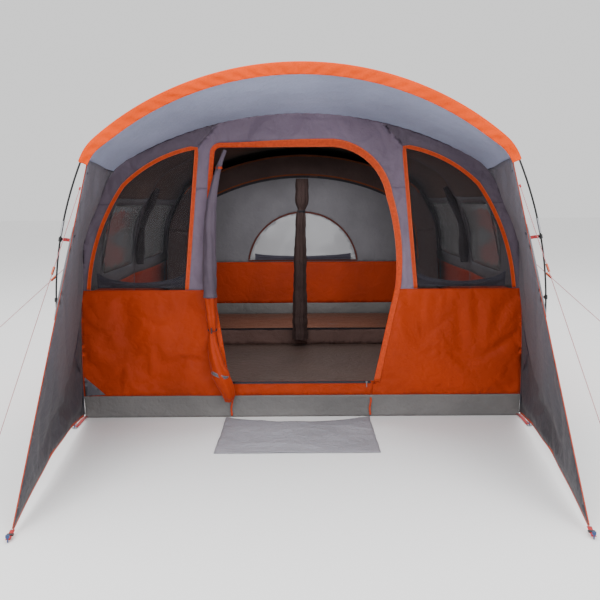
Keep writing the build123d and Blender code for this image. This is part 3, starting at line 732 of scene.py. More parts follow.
# ---------------------------------------------------------------- the tunnel
def bay_share(y):
    """0 at a hoop, 1 halfway between two hoops."""
    for a, b in zip(HOOP_YS, HOOP_YS[1:]):
        if a <= y <= b:
            return math.sin(math.pi * (y - a) / (b - a))
    return 0.0


def fly_inset(y, along):
    """How far the fly hangs in: a sag between hoops, and creases that run from hoop to hoop."""
    free = bay_share(y)
    ridges = 0.35 * wander((along * 6.0, y * 0.9, 0), 1.0)
    ridges += 0.5 * wander((along * 17.0, y * 1.4, 0), 1.0)
    pull = 0.006 * math.exp(-free * 7.0) * math.sin(along * 60.0 + 3 * wander((along, y, 0), 0.3))
    return 0.026 * free ** 0.8 + 0.006 * free * ridges + pull * (0.3 + 0.7 * free)


def fly_point(share, y):
    x, z = HOOP.at(share, 0.001 + fly_inset(y, share * HOOP.half))
    return Vector((x, y, z))


def side_point(y, z):
    """Right-hand side of the tunnel at a height."""
    share = HOOP.share(z)
    return fly_point(share, y)


SIDE_WINDOWS = [(FRONT + near, FRONT + far, 0.95, 1.45)
                for near, far in ((0.42, 1.43), (1.67, 2.86), (3.13, 4.25))]


def rectangle(y0, y1, z0, z1):
    return [(y0, z0), (y1, z0), (y1, z1), (y0, z1)]


def window_loop(y0, y1, z0, z1):
    """A side window's outline, with rounded corners."""
    corner, loop = 0.05, []
    for cy, cz, start in ((y1 - corner, z0 + corner, -90), (y1 - corner, z1 - corner, 0),
                          (y0 + corner, z1 - corner, 90), (y0 + corner, z0 + corner, 180)):
        loop += [(cy + corner * math.cos(math.radians(start + 15 * k)),
                  cz + corner * math.sin(math.radians(start + 15 * k))) for k in range(7)]
    return loop


def fly():
    eave = HOOP.share(EAVE)
    y0, y1 = FRONT + 0.002, REAR - 0.002
    roof = grid("fly_roof_cloth", lambda u, v: fly_point(eave * (2 * u - 1), y0 + (y1 - y0) * v),
                120, 190, FLY_GREY, (2 * eave * HOOP.half, y1 - y0))
    cloth_piece(roof, TENT, (2 * eave * HOOP.half, y1 - y0), ["fly_roof"])
    roof.data.materials.append(ROOF_LINING)
    roof.modifiers["thickness"].material_offset = 1

    loops = [rectangle(y0, y1, BAND_TOP, EAVE)] + [window_loop(*w) for w in SIDE_WINDOWS]
    upper = fill("side_upper_right_cloth", loops, 0.035, side_point, FLY_GREY)
    lower = fill("side_lower_right_cloth", [rectangle(y0, y1, TUB_TOP, BAND_TOP)], 0.035, side_point,
                 ORANGE, 2)
    for piece, node, height in ((upper, "side_upper_panels", EAVE - BAND_TOP),
                                (lower, "side_lower_panels", BAND_TOP - TUB_TOP)):
        for one in both_sides(piece):
            cloth_piece(one, TENT, (y1 - y0, height + 0.06), [node], area=area_of(one))
    for number, window in enumerate(SIDE_WINDOWS, 1):
        near, far, low, high = window
        film = fill(f"side_window_right_{number}", [window_loop(*window)], 0.05,
                    lambda y, z: side_point(y, z) + Vector((-0.0005, 0, 0)), SIDE_FILM, number)
        tape_line = [side_point(y, z) + Vector((0.002, 0, 0)) for y, z in window_loop(*window)]
        centre = sum(tape_line, Vector()) / len(tape_line)
        tape = ribbon(f"side_window_tape_right_{number}", tape_line,
                      lambda i, line=tape_line, c=centre: line[i] - c, 0.024, DARK_TAPE, 0.0012, True)
        for one in both_sides(film):
            cloth_piece(one, TENT, (far - near, high - low + 0.03), ["side_windows"],
                        area=area_of(one), thickness=0.001)
        for one in both_sides(tape):
            trim(one)


def hoop_line(y, inset, low):
    """3-D points along a hoop, from a height on the right over the crown to the left."""
    end = HOOP.share(low)
    return [Vector((x, y, z)) for x, z in (HOOP.at(end * (1 - 2 * i / 110), inset) for i in range(111))]


def sleeves():
    """Pole sleeves outside the fly, gathered a little where they are sewn on."""
    for number, y in enumerate(HOOP_YS, 1):
        line = hoop_line(y, -0.0135, 0.42)

        def radius(share, angle, p, seed=number):
            pucker = 0.0012 * math.sin(share * 420 + 2 * wander(p, 0.05, seed))
            return 0.0118 + pucker + 0.0012 * wander(p, 0.04, seed + 5)

        bar(tube(f"hoop_sleeve_{number}", line, radius, FLY_GREY, 14), "hoop_sleeves")
        seam_y = y + 0.013 if number == 1 else y
        for name, inset, width in (("outer", -0.0004, 0.03), ("inner", 0.0035, 0.024)):
            trim(ribbon(f"hoop_seam_{name}_{number}", hoop_line(seam_y, inset, 0.42), lambda i: (0, 1, 0),
                        width, GREY_TAPE, 0.0008), thickness=0.0008)


def groundsheet():
    y0, y1 = FRONT, REAR

    def floor_point(u, v):
        x, y = FLOOR_HALF * (2 * u - 1), y0 + (y1 - y0) * v
        rise = 0.003 + 0.005 * max(0.0, wander((x, y, 0), 0.35, 2.0)) + 0.003 * crease((x, y, 0), 0.22, 4.0)
        edge = min(u, 1 - u, v, 1 - v)
        return Vector((x, y, 0.0012 + rise * smoothstep(0.0, 0.03, edge)))

    floor = grid("groundsheet_floor", floor_point, 90, 140, FLOOR_BROWN_PAINTED_SHADE, (2 * FLOOR_HALF, y1 - y0))
    cloth_piece(floor, TENT, (2 * FLOOR_HALF, y1 - y0), ["groundsheet"])

    def side_tub(u, v):
        y, z = y0 + 0.002 + (y1 - y0 - 0.004) * u, 0.0015 + (TUB_TOP - 0.0015) * v
        free = math.sin(math.pi * v)
        bulge = 0.004 * free * wander((y, z, 0), 0.12, 7.0)
        return Vector((HOOP.width(z, 0.0012 + 0.004 * free) + bulge, y, z))

    side = grid("groundsheet_side_right", side_tub, 240, 8, TUB_GREY, (y1 - y0, TUB_TOP))
    for one in both_sides(side):
        cloth_piece(one, TENT, (y1 - y0, TUB_TOP), ["groundsheet"])

    def end_tub(y, sign, seed):
        def point(u, v):
            z = 0.0015 + (TUB_TOP - 0.0015) * v
            x = (2 * u - 1) * HOOP.width(z, 0.0005)
            free = math.sin(math.pi * v)
            folds = 0.6 * wander((x, z * 2.2, 0), 0.16, seed)
            folds += 0.4 * (crease((x, z * 1.5, 0), 0.3, seed) - 0.5)
            return Vector((x, y + sign * (0.0008 + 0.007 * free * (1 + folds)), z))
        return point

    for name, y, sign in (("front", FRONT, 1), ("rear", REAR, -1)):
        end = grid(f"groundsheet_{name}", end_tub(y, sign, 3.0 * sign), 220, 10, TUB_GREY,
                   (2 * FLOOR_HALF, TUB_TOP))
        cloth_piece(end, TENT, (2 * FLOOR_HALF, TUB_TOP), ["groundsheet"])


# ---------------------------------------------------------------- front wall
def room(x, z):
    """How far the wall may come forward of its plane: hardly at all behind a tape."""
    away = edge_distance((x, z), [DOOR_LOOP, WINDOW_LOOP, flipped(WINDOW_LOOP)])
    return 0.001 + 0.012 * smoothstep(0.045, 0.09, away)


def behind_tapes(old, move):
    """Keeps a settling wall from coming through the tapes."""
    furthest = FRONT + 0.001 - room(old.x, old.z)
    return Vector((move.x, max(move.y, furthest - old.y), move.z))


def front_point(depth=0.004, seed=0.0):
    """Places a corner of the front wall, a little slack between its seams."""
    def point(x, z):
        slack = depth * 0.6 * wander((x, z * 0.6, 0), 0.25, seed)
        slack += depth * 0.5 * (crease((x * 0.8, z, 0), 0.32, seed) - 0.5)
        pleats = math.exp(-((x + 0.62) / 0.16) ** 2) * smoothstep(1.84, 1.94, z)
        upright = math.exp(-((x - 0.69) / 0.07) ** 2) + 0.7 * math.exp(-((x + 0.67) / 0.07) ** 2)
        slack += 0.005 * pleats * math.sin(150 * (x + 0.35 * z))
        slack += 0.009 * upright * wander((x, z * 0.3, 0), 0.035, 8.0) * smoothstep(0.86, 1.0, z)
        return Vector((x, FRONT + 0.001 + max(slack, -room(x, z)), z))
    return point


def clipped(run, low, high):
    """The part between two heights of a run that rises or falls all along."""
    out = []
    for a, b in zip(run, run[1:]):
        if a[1] == b[1]:
            continue
        ends = sorted(min(max((z - a[1]) / (b[1] - a[1]), 0.0), 1.0) for z in (low, high))
        if ends[0] < ends[1]:
            out += [(a[0] + (b[0] - a[0]) * t, a[1] + (b[1] - a[1]) * t) for t in ends]
    return [p for i, p in enumerate(out) if i == 0 or math.dist(p, out[i - 1]) > 1e-6]


PANEL_TOP = 0.876               # seam between the coloured panels and the upper wall
STRIP_TOP = 1.55                # hidden seam in the wall beside the doorway
SIDE_SPLIT = 1.45               # hidden seam in the darker cloth outside the windows
SEAM_X = 0.53                   # where the darker cloth ends at the hoop


def wall_loops():
    """The front wall's panels as loops of (x, z), by name. Upper panels come first."""
    peak = [i for i, p in enumerate(DOOR_LOOP) if p[1] > 1.812]
    door_left, door_right = DOOR_LOOP[:peak[0] + 1], DOOR_LOOP[peak[-1]:]
    window_inner, window_outer = WINDOW_LOOP[:2], WINDOW_LOOP[1:]
    low, high = HOOP.share(PANEL_TOP), HOOP.share(1.9)
    while HOOP.at(high)[0] > SEAM_X:
        high -= 0.001
    hoop_side = [HOOP.at(low + (high - low) * i / 60) for i in range(61)]
    over = [HOOP.at(high - 2 * high * i / 40) for i in range(41)]
    strip_edge = clipped(window_inner, STRIP_TOP, 1.8)
    top = (over + flipped(strip_edge) + clipped(door_left, STRIP_TOP, 1.8131)
           + clipped(door_right, STRIP_TOP, 1.8131) + strip_edge)
    loops = {"top": top}
    for word, door in (("right", door_right), ("left", [(-x, z) for x, z in reversed(door_left)])):
        strip = clipped(window_inner, 0.88, STRIP_TOP) + list(clipped(door, PANEL_TOP, STRIP_TOP))
        strip += [(0.777, PANEL_TOP)]
        upper_side = clipped(hoop_side, SIDE_SPLIT, 3.0) + clipped(window_outer, SIDE_SPLIT, 3.0)
        lower_side = (clipped(hoop_side, PANEL_TOP, SIDE_SPLIT)
                      + clipped(window_outer, 0.88, SIDE_SPLIT) + [(1.41, PANEL_TOP)])
        for name, loop in (("strip", strip), ("side_upper", upper_side), ("side_lower", lower_side)):
            loops[f"{name}_{word}"] = loop if word == "right" else flipped(loop)
    foot = HOOP.share(TUB_TOP)
    edge = [HOOP.at(foot + (low - foot) * i / 16) for i in range(17)]
    for word, door, sill in (("right", door_right, SILL[1]), ("left", door_left, SILL[0])):
        side = clipped(door, 0.249, PANEL_TOP)
        if word == "left":
            loops["lower_left"] = flipped(edge) + [sill] + side
        else:
            loops["lower_right"] = edge + side + [sill]
    return loops


def extent(loop):
    """Width and length of the smallest turned box round a loop, the size its cloth was cut from."""
    boxes = []
    for degrees in range(0, 90, 5):
        c, s = math.cos(math.radians(degrees)), math.sin(math.radians(degrees))
        across, up = [x * c + z * s for x, z in loop], [z * c - x * s for x, z in loop]
        boxes.append((max(across) - min(across) + 0.01, max(up) - min(up) + 0.01))
    return tuple(round(side, 3) for side in min(boxes, key=lambda b: b[0] * b[1]))


def front_wall():
    for seed, (name, loop) in enumerate(wall_loops().items(), 3):
        low = name.startswith("lower")
        material = ORANGE if low else LILAC_DARK if name.startswith("side") else LILAC
        panel = fill(f"front_wall_{name}", [loop], 0.022 if low else 0.015, front_point(0.005, 1.0),
                     material, seed)
        relax(panel, grow=0.015, frames=24, cap=0.022 if low else 0.012, gravity=0.4, bending=0.3,
              allowed=behind_tapes)
        node = "front_wall_lower" if low else "front_wall_frame"
        cloth_piece(panel, TENT, extent(loop), [node], area=area_of(panel))
    sill = fill("door_sill", [SILL], 0.018, front_point(0.004, 6.0), ORANGE, 8)
    relax(sill, grow=0.02, frames=20, cap=0.012, gravity=0.5, allowed=behind_tapes)
    cloth_piece(sill, TENT, (0.99, 0.1), ["front_wall_lower"], area=area_of(sill))
    patch_loop = [(-1.476, 0.153), (-1.340, 0.160), (-1.478, 0.285)]
    patch = fill("front_wall_corner_patch", [patch_loop], 0.02,
                 lambda x, z: front_point(0.005, 1.0)(x, z) + Vector((0, -0.004, 0)), PATCH_GREY, 12)
    cloth_piece(patch, TENT, (0.145, 0.14), area=area_of(patch))


def loop_tape(name, loop, width, material, y, closed=True, side=0):
    """Tape along an upright loop. side=1 puts it on the left of the run's direction, 0 on its middle."""
    points = [Vector((x, y, z)) for x, z in loop]
    count = len(points)

    def across(i):
        ahead = points[(i + 1) % count if closed else min(i + 1, count - 1)]
        behind = points[(i - 1) % count if closed else max(i - 1, 0)]
        run = (ahead - behind).normalized()
        return Vector((run.z, 0, -run.x))

    return ribbon(name, points, across, width, material, 0.0012, closed, wave=0.0015, side=side)


def dense(loop, step, closed=True):
    """The same run with points no further apart than step."""
    out = []
    ends = loop[1:] + loop[:1] if closed else loop[1:]
    for a, b in zip(loop, ends):
        count = max(1, math.ceil(math.dist(a, b) / step))
        out += [(a[0] + (b[0] - a[0]) * i / count, a[1] + (b[1] - a[1]) * i / count)
                for i in range(count)]
    return out if closed else out + [loop[-1]]


def front_trims():
    door_run = dense(DOOR_LOOP, 0.03, False)

    def door_width(i):
        """Narrow on the left, wide over the top and down the right side."""
        x, z = door_run[i]
        wide = 0.030 + 0.022 * smoothstep(-0.53, 0.1, x)
        return wide - 0.016 * smoothstep(0.2, 0.6, x) * (1 - smoothstep(0.8, 1.5, z) * 0.5)

    door = loop_tape("door_tape", door_run, door_width, WIDE_TAPE, FRONT - 0.005, False, side=1)
    trim(door, "door_trim")
    line = dense(WINDOW_LOOP, 0.03, False)
    tape = loop_tape("front_window_tape_right", line, 0.025, TAPE, FRONT - 0.005, False, side=1)
    for one in both_sides(tape):
        trim(one, "front_window_trims")
    mesh = fill("front_window_mesh_right", [WINDOW_LOOP], 0.03, front_point(0.004, 9.0), MESH, 9)
    relax(mesh, grow=0.006, frames=16, cap=0.012, gravity=0.3)
    for one in both_sides(mesh):
        cloth_piece(one, TENT, (0.72, 0.93), ["front_window_mesh"], area=area_of(one),
                    thickness=0.0006)
    zip_line = dense([(-0.47, 0.241), (0.468, 0.241)], 0.02, False)
    trim(loop_tape("door_zip_tape", zip_line, 0.016, DARK_TAPE, FRONT - 0.004, False), "door_zip_track")


# ---------------------------------------------------------------- rolled cloth
def rolled(name, stations, material, folds=5, depth=0.1, twist=4.0, seed=1.0, sides=40, steps=60):
    """Rolled or gathered cloth through stations (x, y, z, radius), with long folds round it."""
    run = rounded(stations, max(4, steps // (len(stations) - 1)))
    reached = [0.0]
    for a, b in zip(run, run[1:]):
        reached.append(reached[-1] + math.dist(a[:3], b[:3]))

    def radius(share, angle, p):
        base = run[min(bisect.bisect_left(reached, share * reached[-1] - 1e-9), len(run) - 1)][3]
        turn = angle * folds + twist * share + 1.6 * wander(p, 0.16, seed)
        fold = math.cos(turn) + 0.5 * math.cos(2.3 * turn + 4 * share)
        loose_edge = 0.10 * ((angle / (2 * math.pi) + 0.1 * wander(p, 0.1, seed)) % 1.0)
        return base * (1 - depth + depth * fold * 0.6 + loose_edge + 0.12 * wander(p, 0.045, seed + 3))

    return tube(name, [p[:3] for p in run], radius, material, sides)


def tie_band(name, centre, radius, height, material, axis=(0, 0, 1), replaces=()):
    """A tape pulled tight round a roll."""
    axis = Vector(axis).normalized()
    side = axis.orthogonal().normalized()
    other = axis.cross(side)
    points = [Vector(centre) + (side * math.cos(a) + other * math.sin(a)) * radius
              for a in (2 * math.pi * k / 28 for k in range(28))]
    trim(ribbon(name, points, lambda i: axis, height, material, 0.001, True), *replaces, thickness=CLOTH)


def door_roll():
    y = FRONT - 0.0015
    upper = rolled("door_roll_upper", [(-0.490, y - 0.020, 1.795, 0.013), (-0.545, y - 0.028, 1.640, 0.022),
                                       (-0.590, y - 0.042, 1.400, 0.036), (-0.604, y - 0.050, 1.100, 0.044),
                                       (-0.606, y - 0.050, 0.832, 0.045)], LILAC_DARK, 4, 0.1, 5.0, 2.0)
    lower = rolled("door_roll_lower", [(-0.606, y - 0.050, 0.834, 0.045), (-0.598, y - 0.042, 0.640, 0.036),
                                       (-0.596, y - 0.030, 0.600, 0.024), (-0.592, y - 0.046, 0.500, 0.040),
                                       (-0.550, y - 0.066, 0.330, 0.058), (-0.500, y - 0.060, 0.200, 0.052),
                                       (-0.495, y - 0.040, 0.130, 0.032)], ORANGE, 5, 0.13, 6.0, 4.0)
    for piece in (upper, lower):
        bar(piece, "door_roll")
    tie_band("door_roll_tie_lower", (-0.596, y - 0.032, 0.612), 0.030, 0.014, DARK_TAPE)
    tie_band("door_roll_tie_upper", (-0.533, y - 0.028, 1.680), 0.023, 0.014, TAPE)
    tie_band("door_roll_strap", (-0.545, y - 0.066, 0.315), 0.061, 0.022, GREY_TAPE, (0.35, 0, 1))


def swag(name, stations, foot, y, material, width, seed):
    """Loose cloth between a sagging edge and the window's foot. stations are (x, z, depth)."""
    run = rounded(stations, 12)

    def point(u, v):
        x, z, deep = run[round(u * (len(run) - 1))]
        fold = 0.5 * math.sin(9.0 * v + 5.0 * wander((x, z, 0), 0.22, seed))
        fold += 0.9 * wander((x * 0.6, v * 0.35, 0), 0.09, seed)
        bulge = deep * math.sin(math.pi * min(v * 1.4, 1.0)) * (0.75 + 0.5 * fold)
        return Vector((x, y - bulge, z + (foot - z) * v))

    cloth = grid(name, point, len(run) - 1, 16, material, (width, 0.12))
    return cloth, [point(i / 40, 0.0) for i in range(41)]


def blinds():
    stations = [(0.785, 0.985, 0.006), (0.850, 0.945, 0.022), (0.985, 0.922, 0.030), (1.085, 0.915, 0.016),
                (1.185, 0.922, 0.030), (1.310, 0.945, 0.022), (1.378, 0.985, 0.006)]
    blind, hem = swag("front_window_blind_right", stations, 0.885, FRONT + 0.058, BLIND, 0.66, 5.0)
    roll = rolled("front_window_blind_hem_right", [(p.x, p.y, p.z, 0.007) for p in hem[::4]], BLIND, 3, 0.12,
                  6.0, 5.0, 14)
    for one in both_sides(blind):
        cloth_piece(one, TENT, (0.68, 0.13), ["front_window_blinds"], area=area_of(one))
    for one in both_sides(roll):
        bar(one)
    half = [(0.62, 0.795, 0.004), (0.5, 0.776, 0.012), (0.25, 0.762, 0.016)]
    stations = [(-x, z, d) for x, z, d in half] + [(0, 0.756, 0.016)] + half[::-1]
    rear, hem = swag("rear_window_blind_cloth", stations, 0.722, REAR - 0.026, BLIND, 1.25, 6.0)
    cloth_piece(rear, TENT, (1.3, 0.075), ["rear_window_blind"], area=area_of(rear))
    roll = rolled("rear_window_blind_hem", [(p.x, p.y, p.z, 0.009) for p in hem[::4]], BLIND, 3, 0.12, 6.0,
                  6.0, 14)
    bar(roll)
    for side in (-1, 1):
        for number, y in enumerate(HOOP_YS[1:3], 1):
            stations = [(side * HOOP.width(z, 0.05), y, z, r) for z, r in
                        ((1.58, 0.021), (1.46, 0.035), (1.255, 0.025), (1.05, 0.041), (0.93, 0.031))]
            word = "right" if side > 0 else "left"
            curtain = rolled(f"side_curtain_{word}_{number}", stations, CURTAIN, 4, 0.12, 3.0, number, 28)
            bar(curtain, "side_curtain_rolls")
            tie_band(f"side_curtain_tie_{word}_{number}", stations[2][:3], 0.027, 0.016, DARK_TAPE)


# ---------------------------------------------------------------- rear wall
REAR_WINDOW = [(-0.69, 0.72), (0.69, 0.72)] + arc_through((0.69, 0.72), (0, 1.32), (-0.69, 0.72), 40)[1:-1]


def rear_point(x, z):
    slack = 0.010 * (wander((x, z, 0), 0.35, 11.0) + crease((x, z * 0.7, 0), 0.5, 12.0) - 0.5)
    return Vector((x, REAR - 0.001 - max(slack, -0.001), z))


def rear_wall():
    outline = grown(REAR_WINDOW, 0.012)
    upper = fill("rear_wall_upper_cloth", [hoop_loop(REAR_BAND_TOP), outline], 0.035, rear_point,
                 FLY_GREY, 12)
    lower = fill("rear_wall_lower_cloth", [hoop_loop(TUB_TOP, REAR_BAND_TOP)], 0.035, rear_point,
                 ORANGE, 13)
    film = fill("rear_window_cloth", [outline], 0.04, rear_point, FILM, 14)
    cloth_piece(upper, TENT, (3.0, 1.35), ["rear_wall_upper"], area=area_of(upper))
    cloth_piece(lower, TENT, (3.01, 0.56), ["rear_wall_lower"], area=area_of(lower))
    cloth_piece(film, TENT, (1.41, 0.63), ["rear_window_film"], area=area_of(film),
                thickness=0.001)
    for name, y in (("inner", REAR - 0.010), ("outer", REAR + 0.0018)):
        trim(loop_tape(f"rear_window_tape_{name}", dense(outline, 0.03), 0.022, ZIP_TAPE, y),
             "rear_window_trim")


# ---------------------------------------------------------------- inner tent
def inner_tent():
    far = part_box("inner_tent_shell")[1][1] - 0.003
    end = HOOP.share(0.01)

    def shell_point(u, v):
        share, y = end * (2 * u - 1), INNER_Y + 0.002 + (far - INNER_Y - 0.002) * v
        slack = 0.012 * (1 + wander((share * 3, y, 0), 0.5, 21.0)) * math.sin(math.pi * v)
        slack += 0.006 * crease((share * 3, y * 0.7, 0), 0.3, 22.0)
        x, z = HOOP.at(share, 0.101 + slack)
        return Vector((x, y, max(z, 0.004)))

    size = (2 * end * HOOP.half, far - INNER_Y)
    shell = grid("inner_tent_cloth", shell_point, 110, 60, INNER_BROWN, size)
    cloth_piece(shell, TENT, size, ["inner_tent_shell"], area=area_of(shell))

    def floor_point(u, v):
        x, y = 1.368 * (2 * u - 1), INNER_Y + 0.003 + (far - INNER_Y) * v
        rise = 0.008 + 0.006 * max(0.0, wander((x, y, 0), 0.3, 23.0)) + 0.004 * crease((x, y, 0), 0.2, 24.0)
        return Vector((x, y, rise))

    floor = grid("bedroom_floor_cloth", floor_point, 70, 60, BED_FLOOR, (2.736, far - INNER_Y))
    cloth_piece(floor, TENT, (2.736, far - INNER_Y), ["bedroom_floor"])

    def panel_point(x, z):
        slack = 0.008 * (wander((x, z, 0), 0.3, 25.0) + crease((x * 1.4, z * 0.5, 0), 0.3, 26.0) - 0.5)
        return Vector((x, INNER_Y + 0.001 + slack, z))

    def side(low, high, inset):
        return [p for p in hoop_loop(low, high, inset) if p[0] > 0]

    split = 1.2
    over = [hoop_loop(split, None, gap) for gap in (0.1, 0.32)]
    legs = side(0.165, split, 0.1) + list(reversed(side(0.165, split, 0.32)))
    lip = side(0.006, 0.165, 0.1)
    for name, loop, flat, seed in (("header", over[0] + list(reversed(over[1])), (2.8, 0.75), 27),
                                   ("right", legs, (0.3, 1.05), 28), ("left", flipped(legs), (0.3, 1.05), 29),
                                   ("lip", lip + flipped(lip), (2.75, 0.162), 30)):
        # the lip takes the lighter copy of the brown: painted light
        material = INNER_LIP_PAINTED_LIGHT if name == "lip" else INNER_BROWN
        panel = fill(f"inner_door_{name}", [loop], 0.03, panel_point, material, seed)
        cloth_piece(panel, TENT, flat, ["inner_door_panel"], area=area_of(panel))
    hole = hoop_loop(0.165, None, 0.32)
    hem = [Vector((x, INNER_Y - 0.004, z)) for x, z in dense(hole, 0.04)]
    centre = sum(hem, Vector()) / len(hem)
    trim(ribbon("inner_door_binding", hem, lambda i: hem[i] - centre, 0.02, DARK_TAPE, 0.001, True))
    for name, gap, low in (("lower", 0.298, 0.9), ("upper", 0.112, 1.6)):
        line = [Vector((x, INNER_Y - 0.006, z)) for x, z in dense(hoop_loop(low, None, gap), 0.04, False)]
        trim(ribbon(f"inner_door_tape_{name}", line, lambda i, run=line: run[i] - centre, 0.014,
                    INNER_TAPE, 0.001))

    y = INNER_Y - 0.09
    curtain = rolled("divider_curtain_cloth", [(0, y, 1.688, 0.062), (-0.004, y, 1.46, 0.064),
                                               (-0.008, y, 1.366, 0.036), (-0.014, y, 1.29, 0.054),
                                               (-0.026, y, 0.70, 0.064), (-0.030, y, 0.30, 0.073),
                                               (-0.032, y, 0.078, 0.078)], INNER_BROWN, 6, 0.16, 3.0, 28.0,
                     56, 90)
    bar(curtain, "divider_curtain_roll")
    tie_band("curtain_tie_band", (-0.008, y, 1.365), 0.040, 0.022, DARK_TAPE, replaces=["curtain_tie"])


# ---------------------------------------------------------------- canopy
CANOPY_INSET = 0.0155


def canopy_point(u, v):
    """u runs from the left edge to the right, v from the first hoop to the front arch."""
    side = 2 * u - 1
    rear = HOOP.at(HOOP.share(CANOPY_EAVE) * side, 0.001)
    front = ARCH.at(ARCH.share(ARCH_CORNER) * side, CANOPY_INSET)
    a = Vector((rear[0], FRONT - 0.001, rear[1]))
    b = arch_point(front[0], front[1])
    p = a.lerp(b, v)
    free = math.sin(math.pi * v) * math.cos(side * math.pi / 2) ** 0.5 if abs(side) < 1 else 0.0
    out = 0.6 * wander((p.x, p.y * 1.3, 0), 0.35, 31.0)
    out += 0.6 * (crease((p.x * 0.8, p.y * 1.2, 0), 0.45, 32.0) - 0.5)
    gathers = 0.0012 * math.exp(-v * 9) * math.sin(p.x * 95 + 2.0 * wander(p, 0.2, 33.0))
    turn = math.atan2(1.05 - v, 1.02 - abs(side))
    corner = 0.008 * math.exp(-((1 - abs(side)) * 7) ** 2) * math.sin(9 * turn)
    drop = 0.014 * free + 0.008 * free * out + gathers * (1 - v) + corner * math.sin(math.pi * v)
    return p - Vector((0, 0, 1)) * drop


def canopy():
    size = (2 * HOOP.share(CANOPY_EAVE) * HOOP.half, 0.83)
    cloth = grid("canopy_cloth", canopy_point, 200, 50, CANOPY, size)
    cloth_piece(cloth, TENT, size, ["canopy_roof"], area=area_of(cloth))
    for side, word in ((0.003, "left"), (0.997, "right")):
        line = [canopy_point(side, i / 24) - Vector((0, 0, 0.003)) for i in range(25)]
        trim(ribbon(f"canopy_seam_{word}", line, lambda i: (0.3, 0.1, -1), 0.013, SEAM_AND_SHADOW_NAVY, 0.0008),
             thickness=0.0008)

    # the sleeve round the front arch and the band that hangs from it, gathered into slanting folds
    end = ARCH.share(ARCH_CORNER - 0.02)
    turns = [math.radians(a) for a in range(-150, 75, 15)]
    profile = [(-0.0125 * math.cos(a), 0.0125 * math.sin(a)) for a in turns]
    profile += [(0.006 + 0.0075 * k, 0.0105 - 0.0012 * k) for k in range(7)]
    profile += [(0.0535, 0.0022), (0.0535, 0.0008), (0.046, 0.0004)]
    lengths = [0.0]
    for p, q in zip(profile, profile[1:]):
        lengths.append(lengths[-1] + math.dist(p, q))

    def band_point(u, v):
        inset, ahead = profile[round(v * (len(profile) - 1))]
        share = end * (2 * u - 1)
        along = share * ARCH.half
        if inset > 0.007:
            inset *= 1 - 0.22 * smoothstep(0.8, 1.0, abs(2 * u - 1))
        x, s = ARCH.at(share, inset)
        slant = along * 68 + inset * 75 * math.copysign(1, share)
        slant += 3 * wander((along, inset * 2, 0), 0.22, 34.0)
        weight = smoothstep(-0.012, 0.006, inset) * (1 - smoothstep(0.049, 0.054, inset) * 0.5)
        ridge = crease((along, inset * 2, 0), 0.06, 35.0) - 0.5
        fold = (0.0036 * math.sin(slant) + 0.0030 * ridge) * weight
        fold += 0.0016 * wander((along, inset, ahead), 0.03, 36.0)
        return arch_point(x, s, ahead + fold + 0.002 * weight)

    rows = len(profile) - 1
    band = grid("canopy_band", band_point, 420, rows, BAND_ORANGE_PAINTED_GLOW, (2 * end * ARCH.half, lengths[-1]))
    band.data.materials.append(CANOPY)
    for i, polygon in enumerate(band.data.polygons):
        if i // 420 < 6:
            polygon.material_index = 1
    cloth_piece(band, TENT, (2 * end * ARCH.half, lengths[-1]), ["canopy_pole_sleeve"],
                area=area_of(band))


# ---------------------------------------------------------------- wings
WING_HEAD = 1.7                 # where the free edge meets the canopy's corner
CLIP_HEIGHTS = (0.86, 1.235)
# painted shadow lines on the wing, standing in for the shadow of the fly's scalloped edge behind it: heights,
# and shares of the way from the hoop to the free edge
SHADOW_SCALLOPS = (((1.63, 0.95), (1.52, 0.74), (1.4, 0.68), (1.27, 0.92)),
            ((1.19, 0.95), (1.08, 0.42), (1.0, 0.42), (0.91, 0.68)),
            ((0.87, 0.66), (0.76, 0.24), (0.62, 0.14), (0.5, 0.24)),
            ((0.5, 0.24), (0.38, 0.1), (0.24, 0.04), (0.1, 0.03)))


def wing_free(z):
    """The wing's free edge at a height."""
    return WING_TOP + (WING_TIP - WING_TOP) * ((WING_TOP.z - z) / (WING_TOP.z - WING_TIP.z))


def wing_point(y, z):
    free = wing_free(z)
    hoop = Vector((HOOP.width(z, 0.001), FRONT - 0.001, z))
    t = (hoop.y - y) / (hoop.y - free.y)
    inner = math.sin(math.pi * min(max(t, 0), 1))
    slack = 0.012 * inner * wander((y, z, 0), 0.4, 41.0)
    for height in CLIP_HEIGHTS:
        away = math.hypot(y - wing_free(height).y, z - height)
        turn = math.atan2(z - height, y - wing_free(height).y)
        slack += 0.006 * inner * math.exp(-away / 0.3) * math.sin(13 * turn)
    return Vector((hoop.x + (free.x - hoop.x) * t + slack, y, z))


def wing_spot(z, share):
    """A point on the wing by height and share of the way from the hoop to the free edge."""
    return wing_point(FRONT - 0.001 + (wing_free(z).y - FRONT) * share, z)


